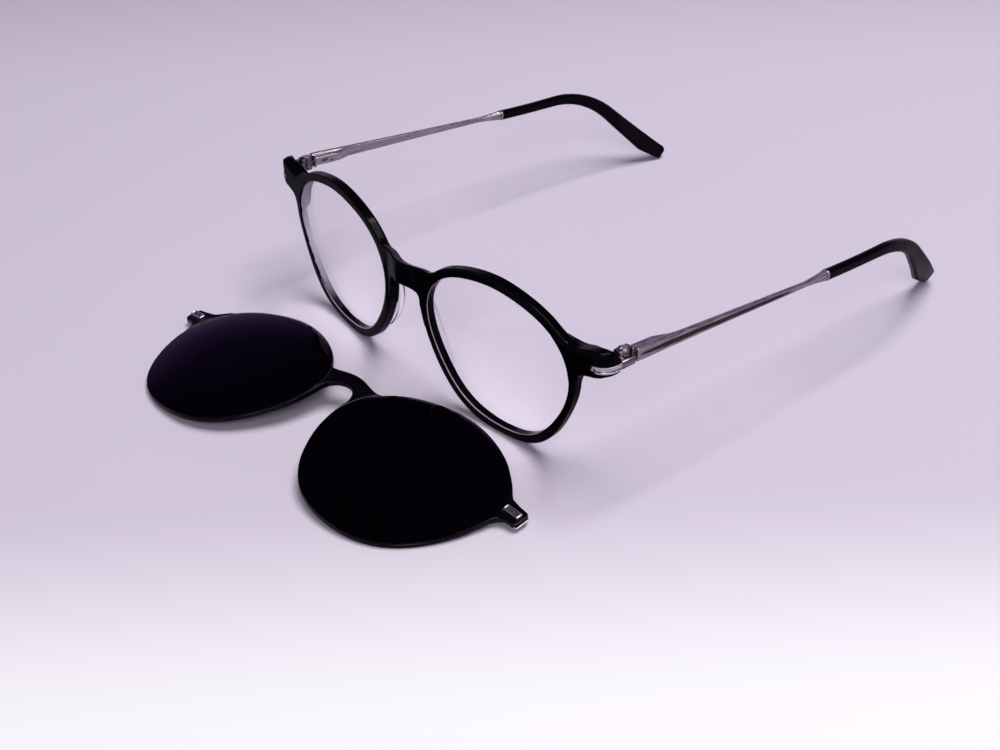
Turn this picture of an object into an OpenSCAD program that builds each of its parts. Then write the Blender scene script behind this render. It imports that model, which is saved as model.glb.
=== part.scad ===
// Clip-on eyeglasses: acetate front, metal spring temples, and the magnetic sun clip that lies before them.
// Origin: on the table under the middle of the bridge. Millimetres.
// +X is right in the photo, +Y runs towards the temple tips, +Z is up.
// "right" is the +X side. Left pieces are the right pieces mirrored across the middle plane.

/* [Lenses and rims] */
// width of one lens opening, the "eye size"
lens_w = 49.3; // [44:0.2:54]
// height of one lens opening
lens_h = 39.9; // [34:0.2:46]
// distance between the two lens openings
bridge_w = 19.7; // [16:0.1:24]
// how much wider the opening is above its middle than below it
panto = 1.05; // [0:0.05:1.6]
// fullness of the upper corners of the opening
crown = 0.41; // [0:0.01:0.6]
// turn of each rim plane round the face
wrap = 5.8; // [0:0.1:9]
// width of the rim seen from the front
rim_w = 2.6; // [2:0.1:5]
// depth of the rim, front to back
rim_d = 3.0; // [2.4:0.1:5]
// depth of the lens groove in the rim
groove_d = 0.6; // [0.3:0.05:1]
// width of the lens groove
groove_w = 0.9; // [0.6:0.05:1.4]
// thickness of the clear lens
lens_t = 1.2; // [1:0.1:2.4]
// radius of the lens faces
lens_curve = 300; // [100:5:400]
// distance from the rim front back to the middle of the groove
groove_back = 1.9; // [1.5:0.1:2.6]
// distance from the rim front back to the middle of the lens
lens_back = 0.5; // [0:0.1:1]
// gap round the lens body inside the rim opening
lens_gap = 0.02; // [0:0.01:0.05]

/* [Bridge and nose pads] */
// height of the top of the bridge above the table
bridge_top = 38.1; // [34:0.1:42]
// half width of the bridge, as far as it runs into the rims
bridge_reach = 14; // [10:0.5:16]
// height of the bridge bar at its middle
bridge_tall = 7.4; // [5:0.1:10]
// half width of the nose arch under the bridge
arch_half = 6.6; // [5:0.1:8]
// forward bow of the bridge
bridge_bow = 1.8; // [0:0.1:2.5]
// thickness of the bridge, front to back
bridge_d = 4.0; // [3:0.1:6]
// half length of a nose pad
pad_long = 6.6; // [5:0.1:8]
// half thickness of a nose pad
pad_thick = 2.3; // [1.5:0.1:3]
// height of the middle of a nose pad
pad_z = 21.5; // [18:0.1:27]
// distance of the middle of a nose pad from the middle plane
pad_x = 8.6; // [6:0.1:11]
// distance of the middle of a nose pad behind the front
pad_y = 3.2; // [1:0.1:6]
// lean of a nose pad, top towards the middle
pad_lean = 14; // [0:1:30]

/* [Lugs] */
// distance of the outer side of a lug from the lens opening
lug_reach = 11.65; // [9:0.05:15]
// radius of the lug corner seen from above
lug_r = 4.2; // [3:0.1:6]
// distance of the back end of the lugs behind the front
lug_end = 9; // [7:0.1:12]
// width of the lug at its back end
lug_back_w = 3.8; // [3:0.1:5]
// top of the lugs above the table
lug_top = 38.9; // [38:0.1:42]
// bottom of the lugs above the table
lug_low = 31.4; // [29:0.1:34]
// top of the lug at its back end
lug_end_top = 36.9; // [36:0.1:40]
// width of the magnet in the lug
magnet_w = 3; // [2:0.1:4]
// height of the magnet in the lug
magnet_h = 1.9; // [1.4:0.1:2.6]
// height of the middle of the magnet above the table
magnet_z = 33.2; // [32.5:0.1:36]
// thickness of the magnet in the lug
magnet_t = 1.5; // [1:0.1:2]
// distance of the magnet from the outer side of the lug
magnet_in = 6.2; // [5.5:0.1:8]

/* [Brackets and hinges] */
// height of the metal strip round the lug
strip_h = 1.9; // [1.4:0.1:3]
// height of the middle of the strip above the table
strip_z = 34.4; // [33:0.1:36]
// how far the strip stands out of the lug
strip_proud = 0.35; // [0.1:0.05:0.8]
// thickness of the hinge plate behind the lug
plate_t = 0.9; // [0.6:0.1:1.2]
// thickness of the lip beside the hinge barrels
lip_t = 0.8; // [0.5:0.05:1]
// how deep the strip is let into the lug
strip_in = 0.55; // [0.3:0.05:1]
// distance of the front end of the strip from the outer side of the lug
strip_back = 4.3; // [3:0.1:4.5]
// distance of the hinge pin from the outer side of the lug
hinge_in = 2.1; // [1.6:0.1:3]
// hinge pin distance behind the front
hinge_y = 11.6; // [10.5:0.1:13]
// height of the middle of the hinge
hinge_z = 35.5; // [34:0.1:37]
// height of the hinge barrels together
hinge_h = 3.8; // [3:0.1:5]
// height of the middle barrel
barrel_h = 1.5; // [1:0.1:2]
// radius of the hinge barrels
barrel_r = 1.5; // [1.2:0.05:2]
// radius of the hinge screw
screw_r = 0.6; // [0.5:0.05:0.8]
// radius of the hinge screw head
screw_head_r = 1; // [0.9:0.05:1.3]
// running clearance of the hinge
hinge_clear = 0.05; // [0.02:0.01:0.1]
// radius of the pins that hold the bracket
pin_r = 0.45; // [0.3:0.05:0.7]
// length of the pins that hold the bracket
pin_len = 2.2; // [1.5:0.1:3]

/* [Temples] */
// tilt of the temples down from the hinge
temple_drop = 4.7; // [0:0.1:10]
// turn of the temples in towards each other
temple_splay = 2; // [-2:0.5:5]
// distance from the hinge pin to the front end of the temple
temple_start = 2.3; // [2:0.1:3]
// height of the temple at the hinge
temple_h = 3.4; // [2.6:0.1:5]
// height of the temple at its thin neck
neck_h = 1.4; // [1.2:0.1:3]
// thickness of the temple strip at the hinge
temple_t = 1.6; // [1.2:0.1:2.4]
// thickness of the temple strip at the neck
neck_t = 1.2; // [1:0.1:2]
// distance of the outer face of the temple from the hinge pin
temple_out = 2.5; // [2:0.1:3]
// distance from the hinge pin to where the strip starts to get lower
lower_at = 6; // [3:0.5:12]
// distance from the hinge pin to where the strip starts to get thinner
thinner_at = 16; // [12:0.5:24]
// distance from the hinge pin to the neck
neck_at = 62.5; // [50:0.5:70]
// distance from the hinge pin to the sleeve
sleeve_at = 71.9; // [60:0.1:80]
// length of the sunk inlay
inlay_len = 54; // [30:0.5:58]
// height of the sunk inlay
inlay_h = 1.3; // [0.8:0.1:2]
// depth of the recess for the inlay
inlay_d = 0.35; // [0.2:0.05:0.6]
// thickness of the core wire in the sleeve
core_t = 1.0; // [0.8:0.1:1.6]
// length of the core wire inside the sleeve
core_len = 52; // [30:1:58]

/* [Spring hinge] */
// length of the spring box
box_len = 10; // [8:0.5:18]
// width of the spring box inside the strip
box_w = 2.0; // [1.8:0.1:3]
// height of the spring box
box_h = 2.5; // [2.2:0.1:3.4]
// radius of the chamber for the spring
chamber_r = 0.75; // [0.6:0.05:1.1]
// distance of the spring rod from the hinge pin towards the inside
rod_in = 0.15; // [0:0.05:0.6]
// radius of the spring rod
rod_r = 0.35; // [0.25:0.01:0.6]
// length of the spring rod behind the hinge pin
rod_len = 9.4; // [7:0.1:14]
// thickness of the front wall of the box
box_wall = 1.0; // [0.8:0.1:2]
// radius of the spring wire
wire_r = 0.13; // [0.1:0.01:0.2]
// number of turns of the spring
spring_turns = 6; // [4:1:12]
// travel of the spring hinge
spring_travel = 1.2; // [0.5:0.1:2]

/* [Sleeves] */
// height of the sleeve at its start
sleeve_h = 2.9; // [2.4:0.1:6]
// height of the sleeve at its tip
tip_h = 5.7; // [5:0.1:9]
// width of the sleeve
sleeve_w = 2.6; // [2.4:0.1:5]
// distance from the hinge pin to the start of the ear bend
bend_at = 96.4; // [85:0.1:105]
// radius of the ear bend
bend_r = 23.4; // [12:0.1:40]
// angle of the ear bend
bend_angle = 43.7; // [25:0.1:50]
// length of the sleeve behind the bend
tail_len = 28.1; // [15:0.1:35]
// upward turn of the sleeve before the bend
sleeve_rise = 2.3; // [0:0.1:6]
// distance from the hinge pin to where the sleeve starts to get higher
widen_at = 88; // [80:0.5:100]
// distance from the hinge pin to where the sleeve starts to curve inwards
curve_at = 92; // [85:0.5:100]
// how far the sleeve would curve inwards over its whole length
tail_in = 13.2; // [0:0.1:20]
// thickness of the ring between temple and sleeve
ring_t = 0.6; // [0.4:0.1:1.5]
// gap between sleeve and core wire
core_gap = 0.05; // [0:0.01:0.1]

/* [Sun clip] */
// width of one clip lens with its edge
clip_w = 55.2; // [50:0.2:60]
// height of one clip lens with its edge
clip_h = 48.0; // [42:0.2:52]
// how much wider a clip lens is above its middle than below it
clip_panto = 0.7; // [0:0.05:1.6]
// fullness of the upper corners of a clip lens
clip_crown = 0.31; // [0:0.01:0.6]
// turn of each half of the clip round the face
clip_wrap = 4.7; // [0:0.1:9]
// distance of a clip lens centre from the middle plane
clip_cx = 34.0; // [32:0.1:36]
// half width of the flat middle of the clip
clip_mid = 5; // [3:0.5:8]
// thickness of the clip
clip_t = 1.6; // [1.2:0.1:2.4]
// width of the edge round a sun lens
edge_w = 1.1; // [0.8:0.1:2]
// width of the ledge behind a sun lens
ledge_w = 1; // [0.6:0.1:2]
// thickness of a sun lens
sun_t = 0.9; // [0.6:0.1:1.4]
// gap round a sun lens in its seat
sun_gap = 0.03; // [0.01:0.01:0.05]
// top of the clip bridge above the lens centre
clip_top = 15.1; // [12:0.1:18]
// radius of the nose arch of the clip
clip_arch = 5.6; // [4:0.1:6]
// height of the nose arch centre above the lens centre
clip_arch_up = 5.5; // [3:0.1:8]
// end of the clip lugs from the middle plane
clip_lug_x = 68.2; // [65:0.1:70]
// height of the clip lug
clip_lug_h = 5.1; // [4:0.1:7]
// height of the magnet block above the lens centre
cup_up = 7.6; // [6:0.1:11]
// distance of the magnet block from the middle plane
cup_x = 64.9; // [62:0.1:66]
// length of the magnet block
cup_w = 5; // [4:0.1:6]
// height of the magnet block
cup_h = 2; // [1.6:0.1:3]
// how far the magnet block stands out of the front
cup_proud = 0.9; // [0.3:0.1:1.5]
// wall of the magnet block
cup_wall = 0.3; // [0.2:0.05:0.5]
// how far the magnet stands out at the back of the clip
magnet_back = 0.2; // [0:0.05:0.5]

/* [Where the clip lies] */
// sideways place of the clip
clip_x = 2.3; // [-10:0.1:10]
// distance of the clip before the front
clip_y = -34.4; // [-60:0.1:-30]
// turn of the clip on the table
clip_yaw = 5.5; // [-20:0.5:20]
// tilt of the clip, upper edge raised
clip_tilt = 5.5; // [0:0.1:10]

/* [Hidden] */
$fn = 64;
lens_x = (lens_w + bridge_w) / 2;
lens_low = (lens_w + lens_h) / 4 - (lens_w - lens_h) / 4 + panto - crown;
lens_z = lens_low + rim_w;
edge_x = lens_x + lens_w / 2;
side_x = edge_x + lug_reach;
hinge_x = side_x - hinge_in;
strip_start = side_x - strip_back;
magnet_x = side_x - magnet_in;
lug_cx = side_x - lug_r;
lug_fy = (lug_cx - lens_x) * tan(wrap);
strip_top = strip_z + strip_h / 2;
side_h = (hinge_h - barrel_h) / 2 - hinge_clear;
low_z = hinge_z - hinge_h / 2;
mid_z = hinge_z - barrel_h / 2;
top_z = hinge_z + barrel_h / 2 + hinge_clear;
sleeve_x = temple_out - 0.85;
arc_len = bend_r * bend_angle * PI / 180;
path_end = bend_at + arc_len + tail_len;
core_end = sleeve_at + core_len;
stop_at = rod_len - 1.1;
spring_len = stop_at - temple_start - box_wall;

// outline of a lens opening or a clip lens, grown by g
function reach(a, w, h, p, c) = (w + h) / 4 + (w - h) / 4 * cos(2 * a) + p * sin(3 * a) + c * sin(5 * a);
function outline(w, h, p, c, g) = [
  for (i = [0 : 119])
    let (a = i * 3, r = reach(a, w, h, p, c) + g) [r * cos(a), r * sin(a)]
];
rim_outline = function(g) outline(lens_w, lens_h, panto, crown, g);
clip_outline = function(g) outline(clip_w, clip_h, clip_panto, clip_crown, g);

// depth of a point of the clip below its flat middle, u out from it and v up, on its back
function clip_depth(u, v) =
  (u * sin(clip_wrap) + clip_t * cos(clip_wrap)) * cos(clip_tilt) - v * sin(clip_tilt);
clip_z = max([for (p = clip_outline(0)) clip_depth(clip_cx - clip_mid + p[0], p[1])]);

module plate(points, from, to) {
  translate([0, 0, from])
    linear_extrude(to - from) polygon(points);
}

// lens axes: x along the rim, y up, z out of the front
module rim_place() {
  translate([lens_x, 0, lens_z]) rotate([0, 0, wrap]) rotate([90, 0, 0]) children();
}

module left_of(side) {
  if (side < 0) mirror([1, 0, 0]) children();
  else children();
}

// front face of the rims and bridge at distance x from the middle
function bridge_bulge(x) = abs(x) < 8 ? bridge_bow * pow(1 - pow(x / 8, 2), 2) : 0;
function front_y(x) = -(lens_x - max(abs(x), 8)) * tan(wrap) - bridge_bulge(x);
function bridge_depth(x) = bridge_d - (bridge_d - rim_d + 0.2) * min(1, abs(x) / 8);

// x of the nose arch at angle a, squarer than a circle
function arch_x(a) = abs(cos(a)) < 0.01 ? 0 : arch_half * sign(cos(a)) * pow(abs(cos(a)), 0.55);

module bridge_front() {
  arch_z = bridge_top - bridge_tall - 4;
  difference() {
    translate([-bridge_reach, bridge_top - 16]) square([bridge_reach * 2, 16]);
    polygon(concat(
      [[arch_half + 2.6, 0], [arch_half + 1.4, bridge_top - 16]],
      [for (a = [0 : 10 : 180]) [arch_x(a), arch_z + 4 * pow(sin(a), 0.7)]],
      [[-arch_half - 1.4, bridge_top - 16], [-arch_half - 2.6, 0]]));
  }
}

module bridge_block() {
  intersection() {
    translate([0, 20, 0]) rotate([90, 0, 0])
      linear_extrude(40) bridge_front();
    linear_extrude(60) polygon(concat(
      [for (x = [-bridge_reach : 0.5 : bridge_reach]) [x, front_y(x) + 0.05]],
      [for (x = [bridge_reach : -0.5 : -bridge_reach]) [x, front_y(x) + bridge_depth(x)]]));
  }
}

// point of the lug corner seen from above, at angle a and moved out by off
function lug_corner(a, off) = [lug_cx + (lug_r + off) * cos(a), lug_fy + lug_r + (lug_r + off) * sin(a)];

module lug_from_above() {
  inner_x = side_x - lug_back_w;
  polygon(concat(
    [[edge_x - 7.15, front_y(edge_x - 7.15)]],
    [for (a = [-90 + wrap : 4 : -4]) lug_corner(a, 0)],
    [[side_x, lug_fy + lug_r], [side_x, lug_end], [inner_x, lug_end], [inner_x - 1.6, lug_end - 0.9],
      [inner_x - 4, lug_end - 2], [edge_x + 0.85, rim_d + 3.2], [edge_x - 7.15, rim_d + 2.2]]));
}

module lug_from_front() {
  polygon([[edge_x - 7.15, lug_top - 1], [edge_x - 3.15, lug_top - 0.7], [edge_x - 1.15, lug_top - 1.5],
    [side_x - 10.8, lug_top - 1.8], [side_x - 8.8, lug_top - 1.6], [side_x - 6.8, lug_top - 1],
    [side_x - 4.8, lug_top - 0.4], [side_x - 2.3, lug_top], [side_x + 1, lug_top - 0.7],
    [side_x + 1, lug_low + 1.4], [side_x - 2.3, lug_low + 0.7], [side_x - 5.8, lug_low - 0.1],
    [side_x - 8.2, lug_low - 1], [side_x - 10, lug_low - 3.4], [edge_x - 7.15, lug_low - 9.4]]);
}

module lug_from_side() {
  polygon([[-5, 0], [lug_end + 1, 0], [lug_end + 1, 60], [lug_end, lug_end_top],
    [lug_end - 1.4, lug_end_top + 1.3], [lug_end - 2.4, lug_top], [lug_end - 2.4, 60], [-5, 60]]);
}

module lug_block() {
  intersection() {
    linear_extrude(60) lug_from_above();
    translate([0, 30, 0]) rotate([90, 0, 0]) linear_extrude(60) lug_from_front();
    rotate([90, 0, 90]) linear_extrude(side_x + 10) lug_from_side();
  }
}

// the metal strip round the lug, from the front to the hinge plate
module strip_solid(out, in, h) {
  start_y = lug_fy - (lug_cx - strip_start) * tan(wrap);
  translate([0, 0, strip_z - h / 2]) linear_extrude(h) polygon(concat(
    [[strip_start, start_y - out]],
    [for (a = [-90 : 5 : 0]) lug_corner(a, out)],
    [[side_x + out, lug_end + plate_t], [side_x - in, lug_end + plate_t]],
    [for (a = [0 : -5 : -90]) lug_corner(a, -in)],
    [[strip_start, start_y + in]]));
}

module bracket_pin_places() {
  for (x = [side_x - lug_back_w + 1, side_x - 1.1])
    translate([x, lug_end + plate_t, hinge_z]) rotate([90, 0, 0]) children();
}

module pin() {
  cylinder(r = pin_r, h = pin_len + plate_t);
}

module magnet_place() {
  translate([magnet_x, front_y(magnet_x), magnet_z]) rotate([0, 0, wrap]) children();
}

module frame_half() {
  difference() {
    union() {
      rim_place() plate(rim_outline(rim_w), -rim_d, 0);
      lug_block();
    }
    rim_place() {
      plate(rim_outline(0), -rim_d - 4, 4);
      plate(rim_outline(groove_d), -groove_back - groove_w / 2, -groove_back + groove_w / 2);
    }
    strip_solid(3, strip_in, strip_h);
    bracket_pin_places() pin();
    magnet_place() translate([-magnet_w / 2, -2, -magnet_h / 2])
      cube([magnet_w, magnet_t + 2, magnet_h]);
  }
}

module frame_front() {
  color([0.02, 0.02, 0.025]) union() {
    frame_half();
    mirror([1, 0, 0]) frame_half();
    difference() {
      bridge_block();
      for (side = [1, -1]) left_of(side) rim_place() {
        plate(rim_outline(0), -rim_d - 6, 6);
        plate(rim_outline(groove_d), -groove_back - groove_w / 2, -groove_back + groove_w / 2);
      }
    }
  }
}

module lens(side) {
  color([0.9, 0.95, 1, 0.4]) left_of(side) rim_place() union() {
    intersection() {
      plate(rim_outline(-lens_gap), -6, 2);
      difference() {
        translate([0, 0, -lens_curve - lens_back]) sphere(r = lens_curve, $fn = 200);
        translate([0, 0, -lens_curve - lens_back - lens_t]) sphere(r = lens_curve, $fn = 200);
      }
    }
    difference() {
      plate(rim_outline(groove_d - lens_gap), -groove_back - groove_w / 2, -groove_back + groove_w / 2);
      plate(rim_outline(-0.6), -8, 4);
    }
  }
}

module nose_pad(side) {
  color([0.9, 0.9, 0.95, 0.5]) left_of(side) difference() {
    translate([pad_x, pad_y, pad_z]) rotate([-8, -pad_lean, 0])
      rotate_extrude() polygon([
        for (a = [-90 : 6 : 90]) [abs(a) == 90 ? 0 : pad_thick * cos(a), pad_long * sin(a)]
      ]);
    rim_place() plate(rim_outline(rim_w), -rim_d, 4);
    rim_place() plate(rim_outline(0.6), -20, 4);
  }
}

module bracket(side) {
  color([0.45, 0.44, 0.46]) left_of(side) difference() {
    union() {
      strip_solid(strip_proud, strip_in, strip_h);
      translate([side_x - lug_back_w, lug_end, low_z])
        cube([lug_back_w + strip_proud, plate_t, hinge_h]);
      for (z = [low_z, top_z]) {
        translate([hinge_x, hinge_y, z]) cylinder(r = barrel_r, h = side_h);
        translate([hinge_x - 1.1, lug_end + plate_t / 2, z])
          cube([2.2, hinge_y - lug_end - plate_t / 2, side_h]);
      }
      translate([side_x - lip_t + strip_proud, lug_end, low_z + 0.2])
        cube([lip_t, hinge_y + temple_start - 0.3 - lug_end, 2.1]);
    }
    translate([hinge_x, hinge_y, 0]) cylinder(r = screw_r, h = 60);
    translate([hinge_x, hinge_y, top_z + side_h - 0.5]) cylinder(r = screw_head_r, h = 2);
    bracket_pin_places() pin();
  }
}

module bracket_pins() {
  color([0.6, 0.6, 0.62]) for (side = [1, -1]) left_of(side) bracket_pin_places() pin();
}

module lug_magnet(side) {
  color([0.12, 0.12, 0.13]) left_of(side) magnet_place() translate([-magnet_w / 2, 0, -magnet_h / 2])
    cube([magnet_w, magnet_t, magnet_h]);
}

module hinge_screws() {
  color([0.7, 0.7, 0.72]) for (side = [1, -1]) left_of(side) translate([hinge_x, hinge_y, 0]) difference() {
    union() {
      translate([0, 0, low_z]) cylinder(r = screw_r, h = hinge_h);
      translate([0, 0, top_z + side_h - 0.5]) cylinder(r = screw_head_r, h = 0.65);
    }
    translate([-0.11, -2, top_z + side_h - 0.05]) cube([0.22, 4, 1]);
  }
}

// temple axes: x outwards, y along the temple, z up, from the middle of the hinge
module temple_place(side) {
  left_of(side) translate([hinge_x, hinge_y, hinge_z])
    rotate([0, 0, temple_splay]) rotate([-temple_drop, 0, 0]) children();
}

// on the axis of the spring rod, at y, pointing along the temple
module rod_place(y) {
  translate([-rod_in, y, 0]) rotate([-90, 0, 0]) children();
}

module hinge_slider(side) {
  color([0.5, 0.49, 0.5]) difference() {
    union() {
      left_of(side) translate([hinge_x, hinge_y, mid_z]) cylinder(r = barrel_r, h = barrel_h);
      temple_place(side) translate([-rod_in - 0.7, 0, -0.55]) cube([1.7, temple_start - 0.05, 1.1]);
      temple_place(side) rod_place(1) cylinder(r = rod_r, h = rod_len - 1);
    }
    left_of(side) translate([hinge_x, hinge_y, 0]) cylinder(r = screw_r + hinge_clear, h = 60);
  }
}

module spring_stop(side) {
  color([0.6, 0.6, 0.6]) temple_place(side) rod_place(stop_at) difference() {
    cylinder(r = chamber_r - 0.06, h = 0.8);
    translate([0, 0, -1]) cylinder(r = rod_r, h = 3);
  }
}

// half width of a slice across round wire wound at a pitch, a degrees round the coil from its middle
function wire_half(a, pitch) = sqrt(max(0.0004, pow(wire_r, 2) - pow(pitch * a / 360, 2)));

module wire_slice(r, pitch) {
  angles = [for (i = [-4 : 4]) 90 * wire_r / pitch * i];
  polygon(concat(
    [for (a = angles) let (w = wire_half(a, pitch)) [(r + w) * cos(a), (r + w) * sin(a)]],
    [for (a = angles) let (w = wire_half(a, pitch)) [(r - w) * cos(-a), (r - w) * sin(-a)]]));
}

module hinge_spring(side) {
  color([0.7, 0.7, 0.7]) temple_place(side) rod_place(temple_start + box_wall)
    linear_extrude(spring_len, twist = -360 * spring_turns, slices = spring_turns * 10, $fn = 18)
      wire_slice(chamber_r - wire_r - 0.1, spring_len / spring_turns);
}

// shape of the temple strip at distance y from the hinge
flare_len = sleeve_at - ring_t - neck_at;
function flare(y) = max(0, (y - neck_at) / flare_len);
function thin(y) = min(1, max(0, y - thinner_at) / (neck_at - thinner_at));
function temple_top(y) = y < neck_at
  ? temple_h / 2 - (temple_h - neck_h) / 2 * pow(max(y - lower_at, 0) / (neck_at - lower_at), 0.8)
  : neck_h / 2 + (sleeve_h - 0.3 - neck_h) / 2 * pow(flare(y), 1.5);
function temple_grow(y) = (sleeve_w - 0.2 - neck_t) / 2 * pow(flare(y), 1.5);
function temple_outer(y) = temple_out + temple_grow(y) - 0.25 * flare(y);
function temple_inner(y) = temple_outer(y) - temple_t + (temple_t - neck_t) * thin(y) - 2 * temple_grow(y);
strip_ys = [for (y = [temple_start : 2 : neck_at - 1]) y];
flare_ys = [for (i = [0 : 8]) neck_at + flare_len * i / 8];
arm_ys = concat(strip_ys, flare_ys);

// heading of the middle line of the sleeve at length s from the hinge
function heading(s) = s < bend_at
  ? sleeve_rise * min(1, (s - sleeve_at) / (bend_at - 6 - sleeve_at))
  : sleeve_rise - bend_angle * min(1, (s - bend_at) / arc_len);
path_n = 40;
path_ds = (path_end - sleeve_at) / path_n;
function step_heading(i) = heading(sleeve_at + (i - 0.5) * path_ds);
function path_y(i) = i == 0 ? sleeve_at : path_y(i - 1) + path_ds * cos(step_heading(i));
function path_z(i) = i == 0 ? 0 : path_z(i - 1) + path_ds * sin(step_heading(i));
spine = [
  for (i = [0 : path_n])
    let (s = sleeve_at + i * path_ds) [path_y(i), path_z(i), heading(s), s]
];
function widening(s) = pow(max(0, (s - widen_at) / (path_end - widen_at)), 1.2);
function sleeve_half(s) = sleeve_h / 2 + (tip_h - sleeve_h) / 2 * widening(s);
function tail_x(y) = sleeve_x - tail_in * pow(max(y - curve_at, 0) / (path_end - curve_at), 2);
tail_ys = [for (y = [sleeve_at : 2 : path_end]) y];

// point of the spine list, moved up by h across its heading
function spine_side(i, h) = [spine[i][0] - h * sin(spine[i][2]), spine[i][1] + h * cos(spine[i][2])];

// solid that follows the first n steps of the spine: half heights from a list, half width w
module along_spine(halves, n, w) {
  intersection() {
    rotate([90, 0, 90]) translate([0, 0, -path_end]) linear_extrude(path_end * 2) polygon(concat(
      [for (i = [0 : n]) spine_side(i, halves[i])],
      [for (i = [n : -1 : 0]) spine_side(i, -halves[i])]));
    translate([0, 0, -path_end]) linear_extrude(path_end * 2) polygon(concat(
      [for (y = tail_ys) [tail_x(y) - w, y]],
      [for (i = [len(tail_ys) - 1 : -1 : 0]) [tail_x(tail_ys[i]) + w, tail_ys[i]]]));
  }
}

core_n = floor(core_len / path_ds);
sleeve_halves = [
  for (i = [0 : path_n])
    i == path_n ? tip_h / 2 - 1.6 : i == path_n - 1 ? tip_h / 2 - 0.4 : sleeve_half(spine[i][3])
];
core_halves = [for (i = [0 : path_n]) core_t / 2];
hole_halves = [for (i = [0 : path_n]) core_t / 2 + core_gap];

module inlay_solid(from, to, h) {
  translate([from, 0, 0]) rotate([90, 0, 90]) linear_extrude(to - from) polygon(concat(
    [for (a = [90 : 10 : 270]) [temple_start + 1.2 + h / 2 + h / 2 * cos(a), h / 2 * sin(a)]],
    [for (a = [-90 : 15 : 90]) [temple_start + 1 + inlay_len - 0.45 + 0.45 * cos(a), 0.45 * sin(a)]]));
}

module temple_arm(side) {
  color([0.42, 0.41, 0.43]) temple_place(side) difference() {
    union() {
      intersection() {
        rotate([90, 0, 90]) translate([0, 0, -30]) linear_extrude(60) polygon(concat(
          [for (y = arm_ys) [y, temple_top(y)]],
          [for (i = [len(arm_ys) - 1 : -1 : 0]) [arm_ys[i], -temple_top(arm_ys[i])]]));
        translate([0, 0, -30]) linear_extrude(60) polygon(concat(
          [for (y = arm_ys) [temple_inner(y), y]],
          [for (i = [len(arm_ys) - 1 : -1 : 0]) [temple_outer(arm_ys[i]), arm_ys[i]]]));
      }
      translate([temple_out - temple_t - box_w + 0.05, temple_start, -box_h / 2])
        cube([box_w, box_len, box_h]);
      translate([sleeve_x - core_t / 2, sleeve_at - 2, -core_t / 2]) cube([core_t, 2.2, core_t]);
      along_spine(core_halves, core_n, core_t / 2);
    }
    rod_place(temple_start + box_wall) cylinder(r = chamber_r, h = box_len - box_wall - 1);
    rod_place(0) cylinder(r = rod_r + hinge_clear, h = 8);
    inlay_solid(temple_out - inlay_d, temple_out + 2, inlay_h);
  }
}

module temple_inlay(side) {
  color([0.2, 0.13, 0.1]) temple_place(side) inlay_solid(temple_out - inlay_d, temple_out - 0.05, inlay_h);
}

module sleeve_ring(side) {
  color([0.7, 0.7, 0.72]) temple_place(side) difference() {
    translate([sleeve_x - sleeve_w / 2, sleeve_at - ring_t, -sleeve_h / 2])
      cube([sleeve_w, ring_t, sleeve_h]);
    translate([sleeve_x - core_t / 2, sleeve_at - 2, -core_t / 2]) cube([core_t, 4, core_t]);
  }
}

module temple_sleeve(side) {
  color([0.03, 0.03, 0.035]) temple_place(side) difference() {
    along_spine(sleeve_halves, path_n, sleeve_w / 2);
    along_spine(hole_halves, core_n, core_t / 2 + core_gap);
  }
}

// clip axes: x right, y towards the upper edge, z out of the front
module clip_place() {
  translate([clip_x, clip_y, clip_z]) rotate([0, 0, clip_yaw]) rotate([clip_tilt, 0, 0]) children();
}

// plane of one clip lens, x counted from the edge of the flat middle
module clip_half(side) {
  left_of(side) translate([clip_mid, 0, 0]) rotate([0, clip_wrap, 0]) children();
}

function bar_top(x) = clip_top - 1.4 + 0.7 * (1 + cos(180 * min(abs(x), 9) / 9));

module clip_bar_2d() {
  difference() {
    polygon(concat([for (x = [-15 : 1 : 15]) [x, bar_top(x)]], [[15, 0], [-15, 0]]));
    translate([0, clip_arch_up]) circle(r = clip_arch);
    translate([-clip_arch, -10]) square([clip_arch * 2, clip_arch_up + 10]);
  }
}

module clip_lug_2d() {
  top = cup_up + clip_lug_h / 2;
  low = cup_up - clip_lug_h / 2;
  polygon([[50, 18], [55.5, 16.4], [58.2, 14.4], [61.5, top + 1], [64.7, top + 0.3], [clip_lug_x - 0.8, top],
    [clip_lug_x, top - 1], [clip_lug_x, low + 0.8], [clip_lug_x - 0.8, low], [65, low - 0.1],
    [63.4, low - 0.8], [62.2, low - 2.6], [61.4, 0], [50, -2]]);
}

module cup_place(side) {
  clip_place() clip_half(side) translate([cup_x - clip_mid, cup_up, 0]) children();
}

// the bridge of the clip, flat in its middle and bent back at both ends
module clip_bar() {
  drop = (15 - clip_mid) * tan(clip_wrap);
  back = 0.09 - clip_t;
  intersection() {
    translate([0, 0, -10]) linear_extrude(20) clip_bar_2d();
    translate([0, 30, 0.03]) rotate([90, 0, 0]) linear_extrude(60) polygon([
      [-15, -drop], [-clip_mid, 0], [clip_mid, 0], [15, -drop],
      [15, back - drop], [clip_mid, back], [-clip_mid, back], [-15, back - drop]]);
  }
}

module clip_carrier() {
  color([0.03, 0.02, 0.04]) clip_place() difference() {
    union() {
      clip_bar();
      for (side = [1, -1]) clip_half(side)
        translate([0, 0, -clip_t]) linear_extrude(clip_t) union() {
          translate([clip_cx - clip_mid, 0]) polygon(clip_outline(0));
          translate([-clip_mid, 0]) clip_lug_2d();
        }
    }
    for (side = [1, -1]) clip_half(side) {
      translate([clip_cx - clip_mid, 0, 0]) {
        plate(clip_outline(-edge_w), -sun_t, 2);
        plate(clip_outline(-edge_w - ledge_w), -clip_t - 1, 2);
      }
      translate([cup_x - clip_mid - cup_w / 2, cup_up - cup_h / 2, -clip_t - 1])
        cube([cup_w, cup_h, clip_t + 2]);
    }
  }
}

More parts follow.
